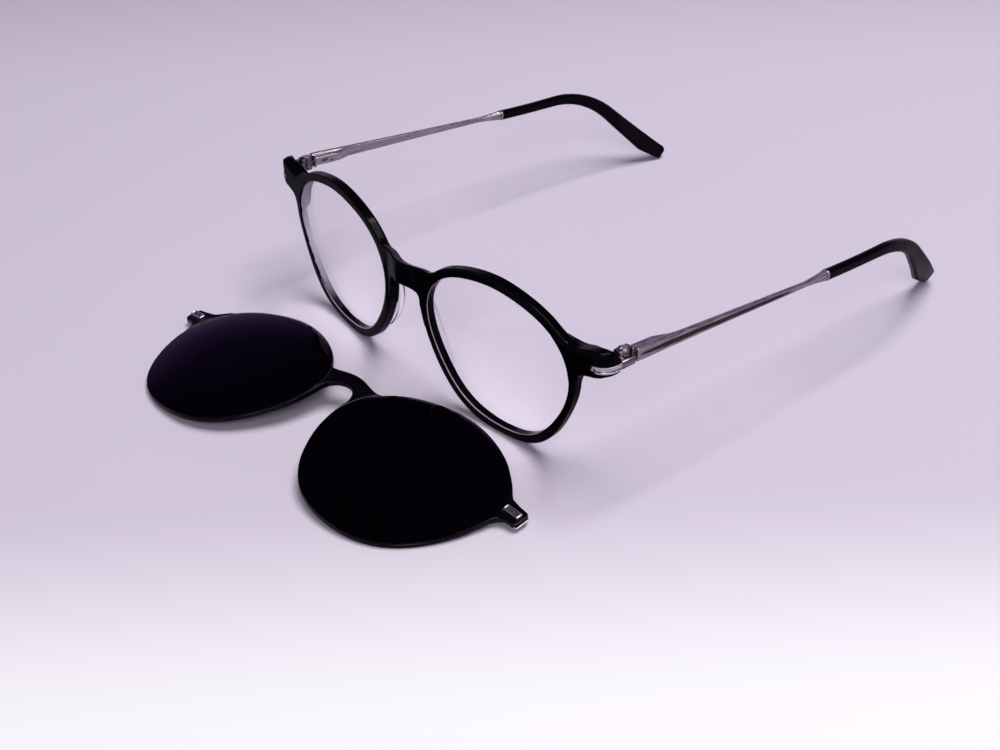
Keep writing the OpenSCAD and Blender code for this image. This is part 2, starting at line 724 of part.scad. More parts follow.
module sun_lens(side) {
  color([0.05, 0.03, 0.07]) clip_place() clip_half(side) translate([clip_cx - clip_mid, 0, 0])
    plate(clip_outline(-edge_w - sun_gap), -sun_t, 0);
}

module clip_cup(side) {
  color([0.7, 0.7, 0.72]) cup_place(side) difference() {
    translate([-cup_w / 2, -cup_h / 2, -clip_t]) cube([cup_w, cup_h, clip_t + cup_proud]);
    translate([cup_wall - cup_w / 2, cup_wall - cup_h / 2, -clip_t - 1])
      cube([cup_w - 2 * cup_wall, cup_h - 2 * cup_wall, clip_t + cup_proud + 2]);
  }
}

module clip_magnet(side) {
  color([0.4, 0.4, 0.42]) cup_place(side)
    translate([cup_wall - cup_w / 2, cup_wall - cup_h / 2, -clip_t - magnet_back])
      cube([cup_w - 2 * cup_wall, cup_h - 2 * cup_wall, clip_t + magnet_back + cup_proud - 0.12]);
}

frame_front();
lens(1);  // lens_right
lens(-1);  // lens_left
nose_pad(1);  // nose_pad_right
nose_pad(-1);  // nose_pad_left
bracket(1);  // bracket_right
bracket(-1);  // bracket_left
bracket_pins();
lug_magnet(1);  // lug_magnet_right
lug_magnet(-1);  // lug_magnet_left
hinge_screws();
hinge_slider(1);  // hinge_slider_right
hinge_slider(-1);  // hinge_slider_left
hinge_spring(1);  // hinge_spring_right
hinge_spring(-1);  // hinge_spring_left
spring_stop(1);  // spring_stop_right
spring_stop(-1);  // spring_stop_left
temple_arm(1);  // temple_arm_right
temple_arm(-1);  // temple_arm_left
temple_inlay(1);  // temple_inlay_right
temple_inlay(-1);  // temple_inlay_left
sleeve_ring(1);  // sleeve_ring_right
sleeve_ring(-1);  // sleeve_ring_left
temple_sleeve(1);  // temple_sleeve_right
temple_sleeve(-1);  // temple_sleeve_left
clip_carrier();
sun_lens(1);  // sun_lens_right
sun_lens(-1);  // sun_lens_left
clip_cup(1);  // clip_cup_right
clip_cup(-1);  // clip_cup_left
clip_magnet(1);  // clip_magnet_right
clip_magnet(-1);  // clip_magnet_left
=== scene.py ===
import math

import bmesh
import bpy
import numpy as np
from mathutils import Matrix, Vector


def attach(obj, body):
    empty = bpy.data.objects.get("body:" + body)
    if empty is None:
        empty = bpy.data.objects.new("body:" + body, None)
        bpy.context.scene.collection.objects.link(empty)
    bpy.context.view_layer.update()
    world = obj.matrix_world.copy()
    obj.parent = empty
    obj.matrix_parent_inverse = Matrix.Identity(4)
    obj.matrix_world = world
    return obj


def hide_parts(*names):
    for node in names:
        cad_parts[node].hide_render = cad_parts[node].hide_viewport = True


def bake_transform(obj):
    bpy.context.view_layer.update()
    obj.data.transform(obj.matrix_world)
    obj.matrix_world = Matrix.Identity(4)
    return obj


# Clip-on eyeglasses. Shapes are worked out in millimetres, in the frame's own axes, and made in metres.
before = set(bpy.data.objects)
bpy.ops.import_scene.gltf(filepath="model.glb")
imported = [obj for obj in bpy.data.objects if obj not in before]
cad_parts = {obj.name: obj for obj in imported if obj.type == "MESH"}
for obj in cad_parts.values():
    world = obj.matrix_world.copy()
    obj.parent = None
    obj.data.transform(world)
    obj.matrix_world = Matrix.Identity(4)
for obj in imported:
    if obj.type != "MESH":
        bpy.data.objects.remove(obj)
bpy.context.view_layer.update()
scene = bpy.context.scene
mm = 0.001
sides = ((1, "right"), (-1, "left"))


# shapes by distance: below nought is inside, and the surface is where the distance is nought
def smoothMin(a, b, width):
    share = np.clip(0.5 + 0.5 * (b - a) / width, 0, 1)
    return b * (1 - share) + a * share - width * share * (1 - share)


def roundMax(a, b, radius):
    outer = np.hypot(np.maximum(a + radius, 0), np.maximum(b + radius, 0))
    return np.minimum(np.maximum(a + radius, b + radius), 0) + outer - radius


def polygonDistance(px, py, points):
    points = np.asarray(points, float)
    best = sign = None
    for (ax, ay), (bx, by) in zip(points, np.roll(points, -1, axis=0)):
        ex, ey = bx - ax, by - ay
        wx, wy = px - ax, py - ay
        along = np.clip((wx * ex + wy * ey) / (ex * ex + ey * ey + 1e-12), 0, 1)
        gap = (wx - ex * along) ** 2 + (wy - ey * along) ** 2
        best = gap if best is None else np.minimum(best, gap)
        above, below, left = py >= ay, py < by, ex * wy > ey * wx
        crossed = (above & below & left) | (~above & ~below & ~left)
        sign = crossed if sign is None else sign ^ crossed
    return np.where(sign, -1.0, 1.0) * np.sqrt(best)


def boxDistance(x, y, z, low, high):
    out = [np.maximum(low[i] - v, v - high[i]) for i, v in enumerate((x, y, z))]
    return np.maximum(np.maximum(out[0], out[1]), out[2])


def softCorners(points, times=2, share=0.22):
    points = np.asarray(points, float)
    for _ in range(times):
        after = np.roll(points, -1, axis=0)
        points = np.stack([points * (1 - share) + after * share, points * share + after * (1 - share)], axis=1)
        points = points.reshape(-1, 2)
    return points


# one vertex in each cell that the surface cuts, then quads round the cut edges of the grid
def fieldSurface(low, high, cell, field):
    counts = [int(math.ceil((high[i] - low[i]) / cell)) + 1 for i in range(3)]
    x, y, z = [low[i] + cell * np.arange(counts[i]) for i in range(3)]
    value = np.broadcast_to(field(x[:, None, None], y[None, :, None], z[None, None, :]), counts)
    inside = value < 0
    size = [n - 1 for n in counts]
    steps = [(i, j, k) for i in (0, 1) for j in (0, 1) for k in (0, 1)]
    full = sum(inside[i:i + size[0], j:j + size[1], k:k + size[2]].astype(np.int8) for i, j, k in steps)
    cells = np.argwhere((full > 0) & (full < 8))
    number = np.full(size, -1, np.int64)
    number[tuple(cells.T)] = np.arange(len(cells))
    corner = {s: value[tuple((cells + s).T)] for s in steps}
    total, crossings = np.zeros((len(cells), 3)), np.zeros(len(cells))
    for a in steps:
        for axis in [n for n in range(3) if not a[n]]:
            b = tuple(1 if n == axis else a[n] for n in range(3))
            cut = (corner[a] < 0) != (corner[b] < 0)
            along = np.where(cut, corner[a] / np.where(cut, corner[a] - corner[b], 1), 0)
            total += (np.array(a, float) + np.eye(3)[axis] * along[:, None]) * cut[:, None]
            crossings += cut
    verts = np.array(low) + (cells + total / crossings[:, None]) * cell
    faces = []
    for axis, u, v in ((0, 1, 2), (1, 2, 0), (2, 0, 1)):
        near = [slice(0, n) for n in counts]
        far = [slice(0, n) for n in counts]
        near[axis], far[axis] = slice(0, counts[axis] - 1), slice(1, counts[axis])
        edges = np.argwhere(inside[tuple(near)] != inside[tuple(far)])
        edges = edges[(edges[:, u] > 0) & (edges[:, v] > 0) & (edges[:, u] < size[u]) & (edges[:, v] < size[v])]
        loop = []
        for du, dv in ((-1, -1), (0, -1), (0, 0), (-1, 0)):
            at = edges.copy()
            at[:, u] += du
            at[:, v] += dv
            loop.append(number[tuple(at.T)])
        quad = np.stack(loop, axis=1)
        turned = ~inside[tuple(edges.T)]
        quad[turned] = quad[turned][:, ::-1]
        faces.append(quad)
    for _ in range(3):
        verts = settle(verts, field, cell)
    return verts, np.concatenate(faces)


def settle(verts, field, cell, reach=0.3, leastSlope=0.2, mostMove=0.5):
    step = cell * reach
    x, y, z = verts.T
    slope = np.stack([
        field(x + step, y, z) - field(x - step, y, z),
        field(x, y + step, z) - field(x, y - step, z),
        field(x, y, z + step) - field(x, y, z - step)], axis=1) / (2 * step)
    push = -field(x, y, z)[:, None] * slope / np.maximum((slope ** 2).sum(axis=1), leastSlope)[:, None]
    return verts + np.clip(push, -cell * mostMove, cell * mostMove)


# meshes and pieces
def showSmooth(piece):
    piece.data.polygons.foreach_set("use_smooth", [True] * len(piece.data.polygons))


def meshObject(name, verts, faces, material, smooth=True, flip=False):
    mesh = bpy.data.meshes.new(name)
    faces = faces.tolist() if isinstance(faces, np.ndarray) else faces
    mesh.from_pydata((np.asarray(verts) * mm).tolist(), [], [tuple(face[::-1] if flip else face) for face in faces])
    mesh.validate()
    mesh.materials.append(material)
    piece = bpy.data.objects.new(name, mesh)
    scene.collection.objects.link(piece)
    if smooth:
        showSmooth(piece)
    return piece


def place(piece, body, slotName, *stood):
    if stood:
        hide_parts(*stood)
    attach(piece, body)
    return piece


def sided(verts, side):
    return np.asarray(verts) * (side, 1, 1)


def readVerts(piece):
    flat = np.empty(len(piece.data.vertices) * 3)
    piece.data.vertices.foreach_get("co", flat)
    return flat.reshape(-1, 3) / mm


def writeVerts(piece, verts, flip=False):
    piece.data.vertices.foreach_set("co", (verts * mm).ravel())
    if flip:
        piece.data.flip_normals()
    piece.data.update()


def toSide(piece, side):
    if side < 0:
        writeVerts(piece, sided(readVerts(piece), side), flip=True)
    return piece


def pointOutwards(piece):
    build = bmesh.new()
    build.from_mesh(piece.data)
    bmesh.ops.recalc_face_normals(build, faces=build.faces)
    build.to_mesh(piece.data)
    build.free()


def applyModifiers(piece):
    bpy.context.view_layer.update()
    seen = piece.evaluated_get(bpy.context.evaluated_depsgraph_get())
    mesh = bpy.data.meshes.new_from_object(seen)
    piece.modifiers.clear()
    piece.data = mesh
    return piece


def bevelled(piece, width, segments=2, angle=0.5):
    bevel = piece.modifiers.new("bevel", "BEVEL")
    bevel.width = width * mm
    bevel.segments = segments
    bevel.limit_method = "ANGLE"
    bevel.angle_limit = angle
    applyModifiers(piece)
    showSmooth(piece)
    piece.data.set_sharp_from_angle(angle=0.7)
    return piece


def prism(points, bottom, top):
    n = len(points)
    verts = [(x, y, bottom) for x, y in points] + [(x, y, top) for x, y in points]
    faces = [tuple(range(n))[::-1], tuple(range(n, 2 * n))]
    faces += [(i, (i + 1) % n, n + (i + 1) % n, n + i) for i in range(n)]
    return np.array(verts), faces


# a prism of four corners, whose width in x may change from its near end to its far end
def slab(ends, nearX, farX, heights):
    return prism([(nearX[0], ends[0]), (nearX[1], ends[0]), (farX[1], ends[1]), (farX[0], ends[1])], *heights)


def rowFaces(rows, n):
    return [(i * n + k, (i + 1) * n + k, (i + 1) * n + (k + 1) % n, i * n + (k + 1) % n)
            for i in range(rows - 1) for k in range(n)]


def joined(parts, name, material):
    made = [bevelled(meshObject(name + str(i), *shape, material, smooth=False), bevel)
            for i, (shape, bevel) in enumerate(parts)]
    build = bmesh.new()
    for part in made:
        build.from_mesh(part.data)
    mesh = bpy.data.meshes.new(name)
    build.to_mesh(mesh)
    build.free()
    for part in made:
        bpy.data.objects.remove(part)
    mesh.materials.append(material)
    piece = bpy.data.objects.new(name, mesh)
    scene.collection.objects.link(piece)
    return piece


# nodes: a value that is another node's socket is linked, any other is set
def feed(tree, socket, value):
    if isinstance(value, bpy.types.NodeSocket):
        tree.links.new(value, socket)
    else:
        socket.default_value = value


def node(tree, kind, **values):
    made = tree.nodes.new(kind)
    for name, value in values.items():
        if hasattr(made, name):
            setattr(made, name, value)
        else:
            feed(tree, made.inputs[name.replace("_", " ")], value)
    return made


def result(tree, kind, **values):
    return node(tree, kind, **values).outputs[0]


def maths(tree, operation, *values, clamp=False):
    made = node(tree, "ShaderNodeMath", operation=operation, use_clamp=clamp)
    for socket, value in zip(made.inputs, values):
        feed(tree, socket, value)
    return made.outputs[0]


def axes(tree, kind="Object"):
    coords = node(tree, "ShaderNodeTexCoord")
    return node(tree, "ShaderNodeSeparateXYZ", Vector=coords.outputs[kind]).outputs


def ramped(tree, source, stops, blend="LINEAR"):
    ramp = node(tree, "ShaderNodeValToRGB", Fac=source)
    ramp.color_ramp.interpolation = blend
    elements = ramp.color_ramp.elements
    for i, (position, colour) in enumerate(stops):
        element = elements[i] if i < 2 else elements.new(position)
        element.position = position
        element.color = (*colour, 1)
    return ramp.outputs["Color"]


# materials
def newMaterial(name, base, roughness, metallic=0.0, **sockets):
    material = bpy.data.materials.new(name)
    material.use_nodes = True
    tree = material.node_tree
    shader = tree.nodes["Principled BSDF"]
    values = {"Base Color": (*base, 1), "Roughness": roughness, "Metallic": metallic, **sockets}
    for label, value in values.items():
        shader.inputs[label.replace("_", " ")].default_value = value
    return material, tree, shader.inputs


def noise(tree, scale, stretch=(1, 1, 1), detail=3.0):
    coords = node(tree, "ShaderNodeTexCoord")
    mapped = result(tree, "ShaderNodeMapping", Scale=stretch, Vector=coords.outputs["Object"])
    return node(tree, "ShaderNodeTexNoise", Scale=scale, Detail=detail, Vector=mapped).outputs["Fac"]


def paint(tree, inputs, source, dark, light, low, high):
    feed(tree, inputs["Base Color"], ramped(tree, source, [(0.3, dark), (0.7, light)]))
    feed(tree, inputs["Roughness"], result(tree, "ShaderNodeMapRange", Value=source, To_Min=low, To_Max=high))


def addBump(tree, inputs, source, strength, distance):
    feed(tree, inputs["Normal"], result(tree, "ShaderNodeBump", Strength=strength, Distance=distance, Height=source))


def polishedPlastic(name, dark, light, gloss, **sockets):
    material, tree, inputs = newMaterial(name, dark, gloss, **sockets)
    paint(tree, inputs, noise(tree, 90), dark, light, gloss * 0.7, gloss * 1.6)
    addBump(tree, inputs, noise(tree, 260, detail=1.0), 0.05, 0.0002)
    return material


def brushedMetal(name, dark, light, low, high, stretch=(1, 0.04, 1)):
    material, tree, inputs = newMaterial(name, dark, low, metallic=1.0)
    grain = noise(tree, 2600, stretch, 2.0)
    paint(tree, inputs, grain, dark, light, low, high)
    addBump(tree, inputs, grain, 0.12, 0.00003)
    return material


def clearPlastic(name, base, index, gloss, shade):
    material, tree, inputs = newMaterial(name, base, gloss, IOR=index, Transmission_Weight=1.0)
    smear = result(tree, "ShaderNodeMapRange", Value=noise(tree, 60), To_Min=gloss * 0.5, To_Max=gloss * 1.5)
    feed(tree, inputs["Roughness"], smear)
    mix = node(tree, "ShaderNodeMixShader", Fac=node(tree, "ShaderNodeLightPath").outputs["Is Shadow Ray"])
    feed(tree, mix.inputs[1], tree.nodes["Principled BSDF"].outputs["BSDF"])
    feed(tree, mix.inputs[2], result(tree, "ShaderNodeBsdfTransparent", Color=(*shade, 1)))
    feed(tree, tree.nodes["Material Output"].inputs["Surface"], mix.outputs["Shader"])
    return material


# painted light: the inner wall of each rim is painted lighter towards the lug, for the light it catches
def wallPaintedLight(dark, light, low, high):
    material, tree, inputs = newMaterial("acetateWallPaintedLight", dark, 0.45, Specular_IOR_Level=0.06)
    away = maths(tree, "ABSOLUTE", axes(tree)["X"])
    share = result(tree, "ShaderNodeMapRange", Value=away, From_Min=low * mm, From_Max=high * mm)
    feed(tree, inputs["Base Color"], ramped(tree, share, [(0, dark), (1, light)]))
    return material


acetateBlack = polishedPlastic("acetateBlack", (0.0008, 0.0007, 0.0011), (0.0018, 0.0015, 0.0026), 0.07,
                               Specular_IOR_Level=0.03)
sleeveBlack = polishedPlastic("sleeveBlack", (0.001, 0.0009, 0.0014), (0.0022, 0.0018, 0.0032), 0.09,
                              Specular_IOR_Level=0.07)
clipBlack = polishedPlastic("clipBlack", (0.001, 0.0007, 0.0016), (0.0024, 0.0016, 0.004), 0.1,
                            Specular_IOR_Level=0.16)
sunDark = polishedPlastic("sunDark", (0.0004, 0.0002, 0.0008), (0.0008, 0.0004, 0.0016), 0.04,
                          Specular_IOR_Level=0.13)
magnetBlack = polishedPlastic("magnetBlack", (0.004, 0.0035, 0.005), (0.008, 0.007, 0.009), 0.3, IOR=1.45)
inlayBrown = polishedPlastic("inlayBrown", (0.01, 0.005, 0.005), (0.035, 0.018, 0.016), 0.32, Specular_IOR_Level=0.25)
# painted highlight: the light grey of the line along the front edge of each lens opening
paintedEdgeHighlight = polishedPlastic("paintedEdgeHighlight", (0.2, 0.19, 0.22), (0.34, 0.32, 0.36), 0.25)
gunmetal = brushedMetal("gunmetal", (0.36, 0.31, 0.33), (0.62, 0.56, 0.58), 0.2, 0.38)
brightSteel = brushedMetal("brightSteel", (0.74, 0.72, 0.75), (0.92, 0.9, 0.92), 0.2, 0.34)
ringSteel = brushedMetal("ringSteel", (0.42, 0.4, 0.43), (0.6, 0.57, 0.6), 0.18, 0.32)
hingeMetal = brushedMetal("hingeMetal", (0.13, 0.1, 0.12), (0.4, 0.36, 0.38), 0.16, 0.34)
springSteel = brushedMetal("springSteel", (0.35, 0.34, 0.35), (0.5, 0.49, 0.5), 0.25, 0.4)
magnetPlated = brushedMetal("magnetPlated", (0.2, 0.19, 0.21), (0.32, 0.3, 0.33), 0.3, 0.45, (1, 1, 0.04))
cupSteel = brushedMetal("cupSteel", (0.5, 0.48, 0.5), (0.72, 0.7, 0.72), 0.12, 0.25)
clearLens = clearPlastic("clearLens", (1.0, 0.995, 1.0), 1.2, 0.004, (0.97, 0.96, 0.975))
crystalPad = clearPlastic("crystalPad", (0.97, 0.95, 0.97), 1.3, 0.03, (0.9, 0.88, 0.92))
acetateWallPaintedLight = wallPaintedLight((0.004, 0.003, 0.008), (0.34, 0.32, 0.4), 44, 57)
print("materials made")

# acetate front
front = {
    "lensWidth": 49.3, "lensHeight": 39.9, "panto": 1.05, "crown": 0.41, "wrap": 5.8, "bridgeWidth": 19.7,
    "rimWidth": 2.6, "rimDepth": 3.0, "frontEdge": 0.3, "backEdge": 0.9, "width": 141.6, "cell": 0.27,
    "bridgeTop": 37.3, "bridgeTall": 6.6, "bridgeDepth": 3.4, "bridgeFall": 0.5, "reach": 14, "foot": 16,
    "footOut": 1.4, "archHalf": 6.6, "archRise": 4, "bow": 1.8, "bowHalf": 8, "bowSoft": 3,
    "lugRadius": 4.2, "lugEnd": 9, "lugBack": 3.8, "lugTop": 38.9, "lugLow": 31.4, "lugEndTop": 36.0,
    "slim": [(0.7, -10, 22), (0.45, -84, 20)],  # rim width taken off, about which angle, over what spread
    "wallEdge": 0.22, "wallDepth": 0.45, "wallFrom": 40,
}
lensForm = tuple(front[key] for key in ("lensWidth", "lensHeight", "panto", "crown"))
lensX = (front["lensWidth"] + front["bridgeWidth"]) / 2
lensZ = front["lensHeight"] / 2 + front["panto"] - front["crown"] + front["rimWidth"]
wrap = math.radians(front["wrap"])
tanWrap, cosWrap, sinWrap = math.tan(wrap), math.cos(wrap), math.sin(wrap)
sideX = front["width"] / 2
lugX = sideX - front["lugRadius"]
lugY = (lugX - lensX) * tanWrap
lugEnd, lugTop, lugLow = front["lugEnd"], front["lugTop"], front["lugLow"]
lugCorner = [(lugX + front["lugRadius"] * math.cos(a), lugY + front["lugRadius"] * (1 + math.sin(a)))
             for a in np.radians(np.arange(-90 + front["wrap"], 1, 6))]


# a lens outline is an oval with a flatter top, given by its reach at each angle
def lensReach(angle, form):
    width, height, panto, crown = form
    return (width + height) / 4 + (width - height) / 4 * np.cos(2 * angle) \
        + panto * np.sin(3 * angle) + crown * np.sin(5 * angle)


def lensEdge(x, y, form):
    width, height, panto, crown = form
    angle = np.arctan2(y, x)
    reach = lensReach(angle, form)
    turn = -(width - height) / 2 * np.sin(2 * angle) + 3 * panto * np.cos(3 * angle) + 5 * crown * np.cos(5 * angle)
    lean = 1 / np.sqrt(1 + (turn / reach) ** 2)
    return (np.hypot(x, y) - reach) * lean, lean


def acrossRim(x, y):
    return (x - lensX) * cosWrap + y * sinWrap


def frontY(x):
    x = np.abs(x)
    half = front["bowHalf"]
    bulge = front["bow"] * (1 - np.minimum(x / half, 1) ** 2) ** 2
    kept = (x + half + np.sqrt((x - half) ** 2 + front["bowSoft"] ** 2)) / 2
    return -(lensX - kept) * tanWrap - bulge


def frontPlan():
    steps = np.arange(-20, 20.01, 0.5)
    more = front["bridgeDepth"] - front["rimDepth"]
    near = [(x, float(frontY(x))) for x in steps]
    back = [(sideX, lugY + 5.2), (sideX - 4, lugY + 3.4), (lugX - 2, float(frontY(lugX - 2)) + 3.02)]
    deep = [(x, float(frontY(x)) + front["rimDepth"] / cosWrap + more * max(1 - abs(x) / front["bowHalf"], 0))
            for x in steps[::-1]]
    return near + lugCorner + back + deep


def bridgeOutline():
    top, half, rise, reach = front["bridgeTop"], front["archHalf"], front["archRise"], front["reach"]
    foot, footX = top - front["foot"], half + front["footOut"]
    arch = []
    for a in np.radians(np.arange(180, -1, -10)):
        c = math.cos(a)
        across = 0 if abs(c) < 0.01 else half * math.copysign(abs(c) ** 0.55, c)
        arch.append((across, top - front["bridgeTall"] - rise + rise * max(math.sin(a), 0) ** 0.7))
    return [(reach, foot), (reach, top), (-reach, top), (-reach, foot), (-footX, foot)] + arch + [(footX, foot)]


def lugPlan():
    inner = sideX - front["lugBack"]
    return [(52, float(frontY(52)) + 0.25)] + lugCorner + [
        (sideX, lugEnd), (inner, lugEnd), (inner - 1.6, lugEnd - 0.9), (inner - 4, lugEnd - 1.6),
        (59, 6.9), (55.5, 6.2), (52, 5.2)]


lugFront = softCorners([
    (50, 36), (55, lugTop - 1), (58, lugTop - 1.6), (60, lugTop - 1.8), (62, lugTop - 1.6), (64, lugTop - 1),
    (66, lugTop - 0.4), (68.5, lugTop), (sideX + 1.2, lugTop - 0.7), (sideX + 1.2, lugLow + 1.4),
    (68.5, lugLow + 0.7), (65, lugLow - 0.1), (62.6, lugLow - 1), (60.8, lugLow - 3.4), (54, 24)])
lugSide = softCorners([
    (-6, 20), (5.4, 20), (5.7, 25), (6.3, 27.6), (7.4, 30), (lugEnd + 0.9, 31.4), (lugEnd + 0.9, 34),
    (lugEnd, front["lugEndTop"]), (lugEnd - 1.4, front["lugEndTop"] + 1.3), (lugEnd - 2.4, lugTop + 0.1),
    (lugEnd - 4, lugTop + 2), (-6, lugTop + 2)])
frontPlanPoints, bridgePoints, lugPlanPoints = frontPlan(), bridgeOutline(), lugPlan()


def frontField(x, y, z):
    x = np.abs(x)
    across = acrossRim(x, y)
    edge, lean = lensEdge(across, z - lensZ, lensForm)
    angle = np.degrees(np.arctan2(z - lensZ, across))
    slim = sum(less * np.exp(-((angle - middle) / reach) ** 2) for less, middle, reach in front["slim"])
    rim = edge - (front["rimWidth"] - slim) * lean
    lug = polygonDistance(x, z, lugFront)
    depth = y - frontY(np.minimum(x, lugX))
    behind = depth > front["rimDepth"] / 2
    bridge = polygonDistance(x, z + front["bridgeFall"] * np.clip(depth - 0.5, 0, 4), bridgePoints)
    outline = smoothMin(smoothMin(rim, lug, 2.4), bridge, 1.6)
    rounding = np.where(behind, front["backEdge"], front["frontEdge"])
    body = roundMax(outline, polygonDistance(x, y, frontPlanPoints), rounding)
    block = roundMax(polygonDistance(x, y, lugPlanPoints), lug, 0.8)
    block = roundMax(block, polygonDistance(y, z, lugSide), 0.5)
    return roundMax(smoothMin(body, block, 0.7), -edge, np.where(behind, 0.5, 0.28))


verts, faces = fieldSurface((-72, -6.2, -0.8), (72, 10.4, 46.5), front["cell"], frontField)
piece = meshObject("acetateFront", verts, faces, acetateBlack)
piece.data.materials.append(acetateWallPaintedLight)
spots = verts[faces].mean(axis=1)
spotX = np.abs(spots[:, 0])
spotEdge = lensEdge(acrossRim(spotX, spots[:, 1]), spots[:, 2] - lensZ, lensForm)[0]
spotDepth = spots[:, 1] - frontY(np.minimum(spotX, lugX))
# the rim's inner wall towards each lug takes the painted light material
paintedLightOnWall = (spotEdge < front["wallEdge"]) & (spotDepth > front["wallDepth"]) & (spotX > front["wallFrom"])
piece.data.polygons.foreach_set("material_index", paintedLightOnWall.astype(np.int32))
place(piece, "frame", "acetate_black", "frame_front")
print("acetate front made", len(faces))

# nose pads follow the rim's inner side
pad = {"out": 1.75, "deep": 2.9, "angle": -168, "wide": 1.8, "thick": 2.5, "long": 9.2, "rimRadius": 23}


def padField(x, y, z):
    across = acrossRim(x, y)
    deep = y * cosWrap - (x - lensX) * sinWrap
    edge = lensEdge(across, z - lensZ, lensForm)[0]
    turn = np.degrees(np.arctan2(z - lensZ, across))
    turn = np.where(turn > 90, turn - 360, turn)
    along = np.radians(turn - pad["angle"]) * pad["rimRadius"]
    body = (np.sqrt((along / pad["long"]) ** 2 + ((edge - pad["out"]) / pad["wide"]) ** 2
                    + ((deep - pad["deep"]) / pad["thick"]) ** 2) - 1) * pad["wide"] * 0.85
    return roundMax(roundMax(body, front["rimDepth"] - deep, 0.12), 0.35 - edge, 0.25)


verts, faces = fieldSurface((3.0, -1.5, 6), (18, 7, 32), 0.18, padField)
for side, name in sides:
    piece = meshObject("nosePad" + name.title(), sided(verts, side), faces, crystalPad, flip=side < 0)
    place(piece, "frame", "crystal_pad", "nose_pad_" + name)
print("nose pads made")

# hinge and temples; a temple is worked out along its own y axis from the hinge
hinge = {"x": 68.7, "y": 11.6, "z": 35.5, "height": 3.8, "barrel": 1.5, "radius": 1.5, "clear": 0.05, "plate": 0.9,
         "plateTop": 36.45, "stripHeight": 1.9, "stripZ": 34.4, "stripStart": 67.6, "stripEnd": 1.5}
temple = {"drop": 4.7, "splay": 2, "start": 2.3, "height": 3.4, "neckHeight": 1.4, "thick": 1.6, "neckThick": 1.2,
          "out": 2.5, "neck": 62.5, "sleeve": 71.9, "ring": 0.6, "flutes": 12, "fluteDeep": 0.17, "cell": 0.155,
          "inlay": 54, "inlayHeight": 1.3, "inlayDeep": 0.35, "inlaySides": 5,
          "boxWidth": 2.0, "boxHeight": 2.5, "boxEnd": 15.6, "chamber": 0.78, "chamberX": -0.15, "chamberEnd": 10.2}
boxCuts = (((4.3, 6.3), (-0.35, 0.4), 0.45), ((7.6, 8.2), (-0.9, -0.2), 0.4), ((9.3, 10), (-1.6, -0.75), 0.5))
sleeve = {"height": 2.9, "tip": 6.9, "width": 2.6, "bendAt": 93.8, "bendRadius": 30, "bend": 43.7, "tail": 25.4,
          "rise": 2.3, "riseEnd": 6, "widenFrom": 88, "curve": 92, "tailIn": 13.2, "tipCut": 8.5, "tipEnd": 4.6,
          "corner": 1.3, "twist": 30, "twistFrom": 104, "twistOver": 22, "cell": 0.22}
sleeveX = temple["out"] - 0.85
flareLength = temple["sleeve"] - temple["ring"] - temple["neck"]


def onTemple(verts, side):
    turn = np.array(Matrix.Translation((hinge["x"], hinge["y"], hinge["z"]))
                    @ Matrix.Rotation(math.radians(temple["splay"]), 4, "Z")
                    @ Matrix.Rotation(math.radians(-temple["drop"]), 4, "X"))
    return sided(np.asarray(verts) @ turn[:3, :3].T + turn[:3, 3], side)


def flare(y):
    return np.clip((y - temple["neck"]) / flareLength, 0, 1)


def templeTop(y):
    thin = np.clip((y - 6) / (temple["neck"] - 6), 0, 1) ** 0.8
    strip = temple["height"] / 2 - (temple["height"] - temple["neckHeight"]) / 2 * thin
    return strip + (sleeve["height"] - 0.3 - temple["neckHeight"]) / 2 * flare(y) ** 1.5


def templeGrow(y):
    return (sleeve["width"] - 0.2 - temple["neckThick"]) / 2 * flare(y) ** 1.5


def templeOuter(y):
    return temple["out"] + templeGrow(y) - 0.25 * flare(y)


def templeInner(y):
    thin = np.clip((y - 16) / (temple["neck"] - 16), 0, 1)
    return templeOuter(y) - temple["thick"] + (temple["thick"] - temple["neckThick"]) * thin - 2 * templeGrow(y)


def inlayHalf(y):
    start, end = temple["start"] + 0.8, temple["start"] + 1 + temple["inlay"]
    leaf = np.sqrt(np.clip((y - start) / 9, 0, 1)) * np.sqrt(np.clip((end - y) / 6, 0, 1))
    return leaf * (temple["inlayHeight"] / 2 - 0.2 * np.clip((y - start) / temple["inlay"], 0, 1))


def armField(x, y, z):
    top, outer, inner = templeTop(y), templeOuter(y), templeInner(y)
    middle, half = (outer + inner) / 2, (outer - inner) / 2
    strip = roundMax(np.abs(z) - top, np.abs(x - middle) - half, np.minimum(0.42, half * 0.55))
    around = temple["flutes"] * np.arctan2(z / top, (x - middle) / half)
    strip = strip + temple["fluteDeep"] * flare(y) ** 0.5 * (0.5 - 0.5 * np.cos(around)) ** 0.7
    strip = roundMax(strip, np.maximum(temple["start"] - y, y - temple["sleeve"] + temple["ring"] + 0.05), 0.25)
    groove = np.maximum(np.abs(z) - inlayHalf(y), outer - temple["inlayDeep"] - x)
    strip = roundMax(strip, -groove, 0.1)
    inside = temple["out"] - temple["thick"] - temple["boxWidth"] + 0.05
    slope = np.clip((y - 10) / 5.5, 0, 1)
    box = roundMax(np.abs(z) - temple["boxHeight"] / 2 - 0.15 * slope, inside + slope * 2.1 - x, 0.3)
    ends = np.maximum(temple["start"] - y, y - temple["boxEnd"])
    box = roundMax(np.maximum(box, x - temple["out"] + 0.6), ends, 0.2)
    for (nearY, farY), (lowZ, highZ), deep in boxCuts:
        box = np.maximum(box, -boxDistance(x, y, z, (inside - 1, nearY, lowZ), (inside + deep, farY, highZ)))
    chamber = np.maximum(np.hypot(x - temple["chamberX"], z) - temple["chamber"],
                         np.maximum(temple["start"] + 0.9 - y, y - temple["chamberEnd"]))
    return np.maximum(smoothMin(strip, box, 0.3), -chamber)


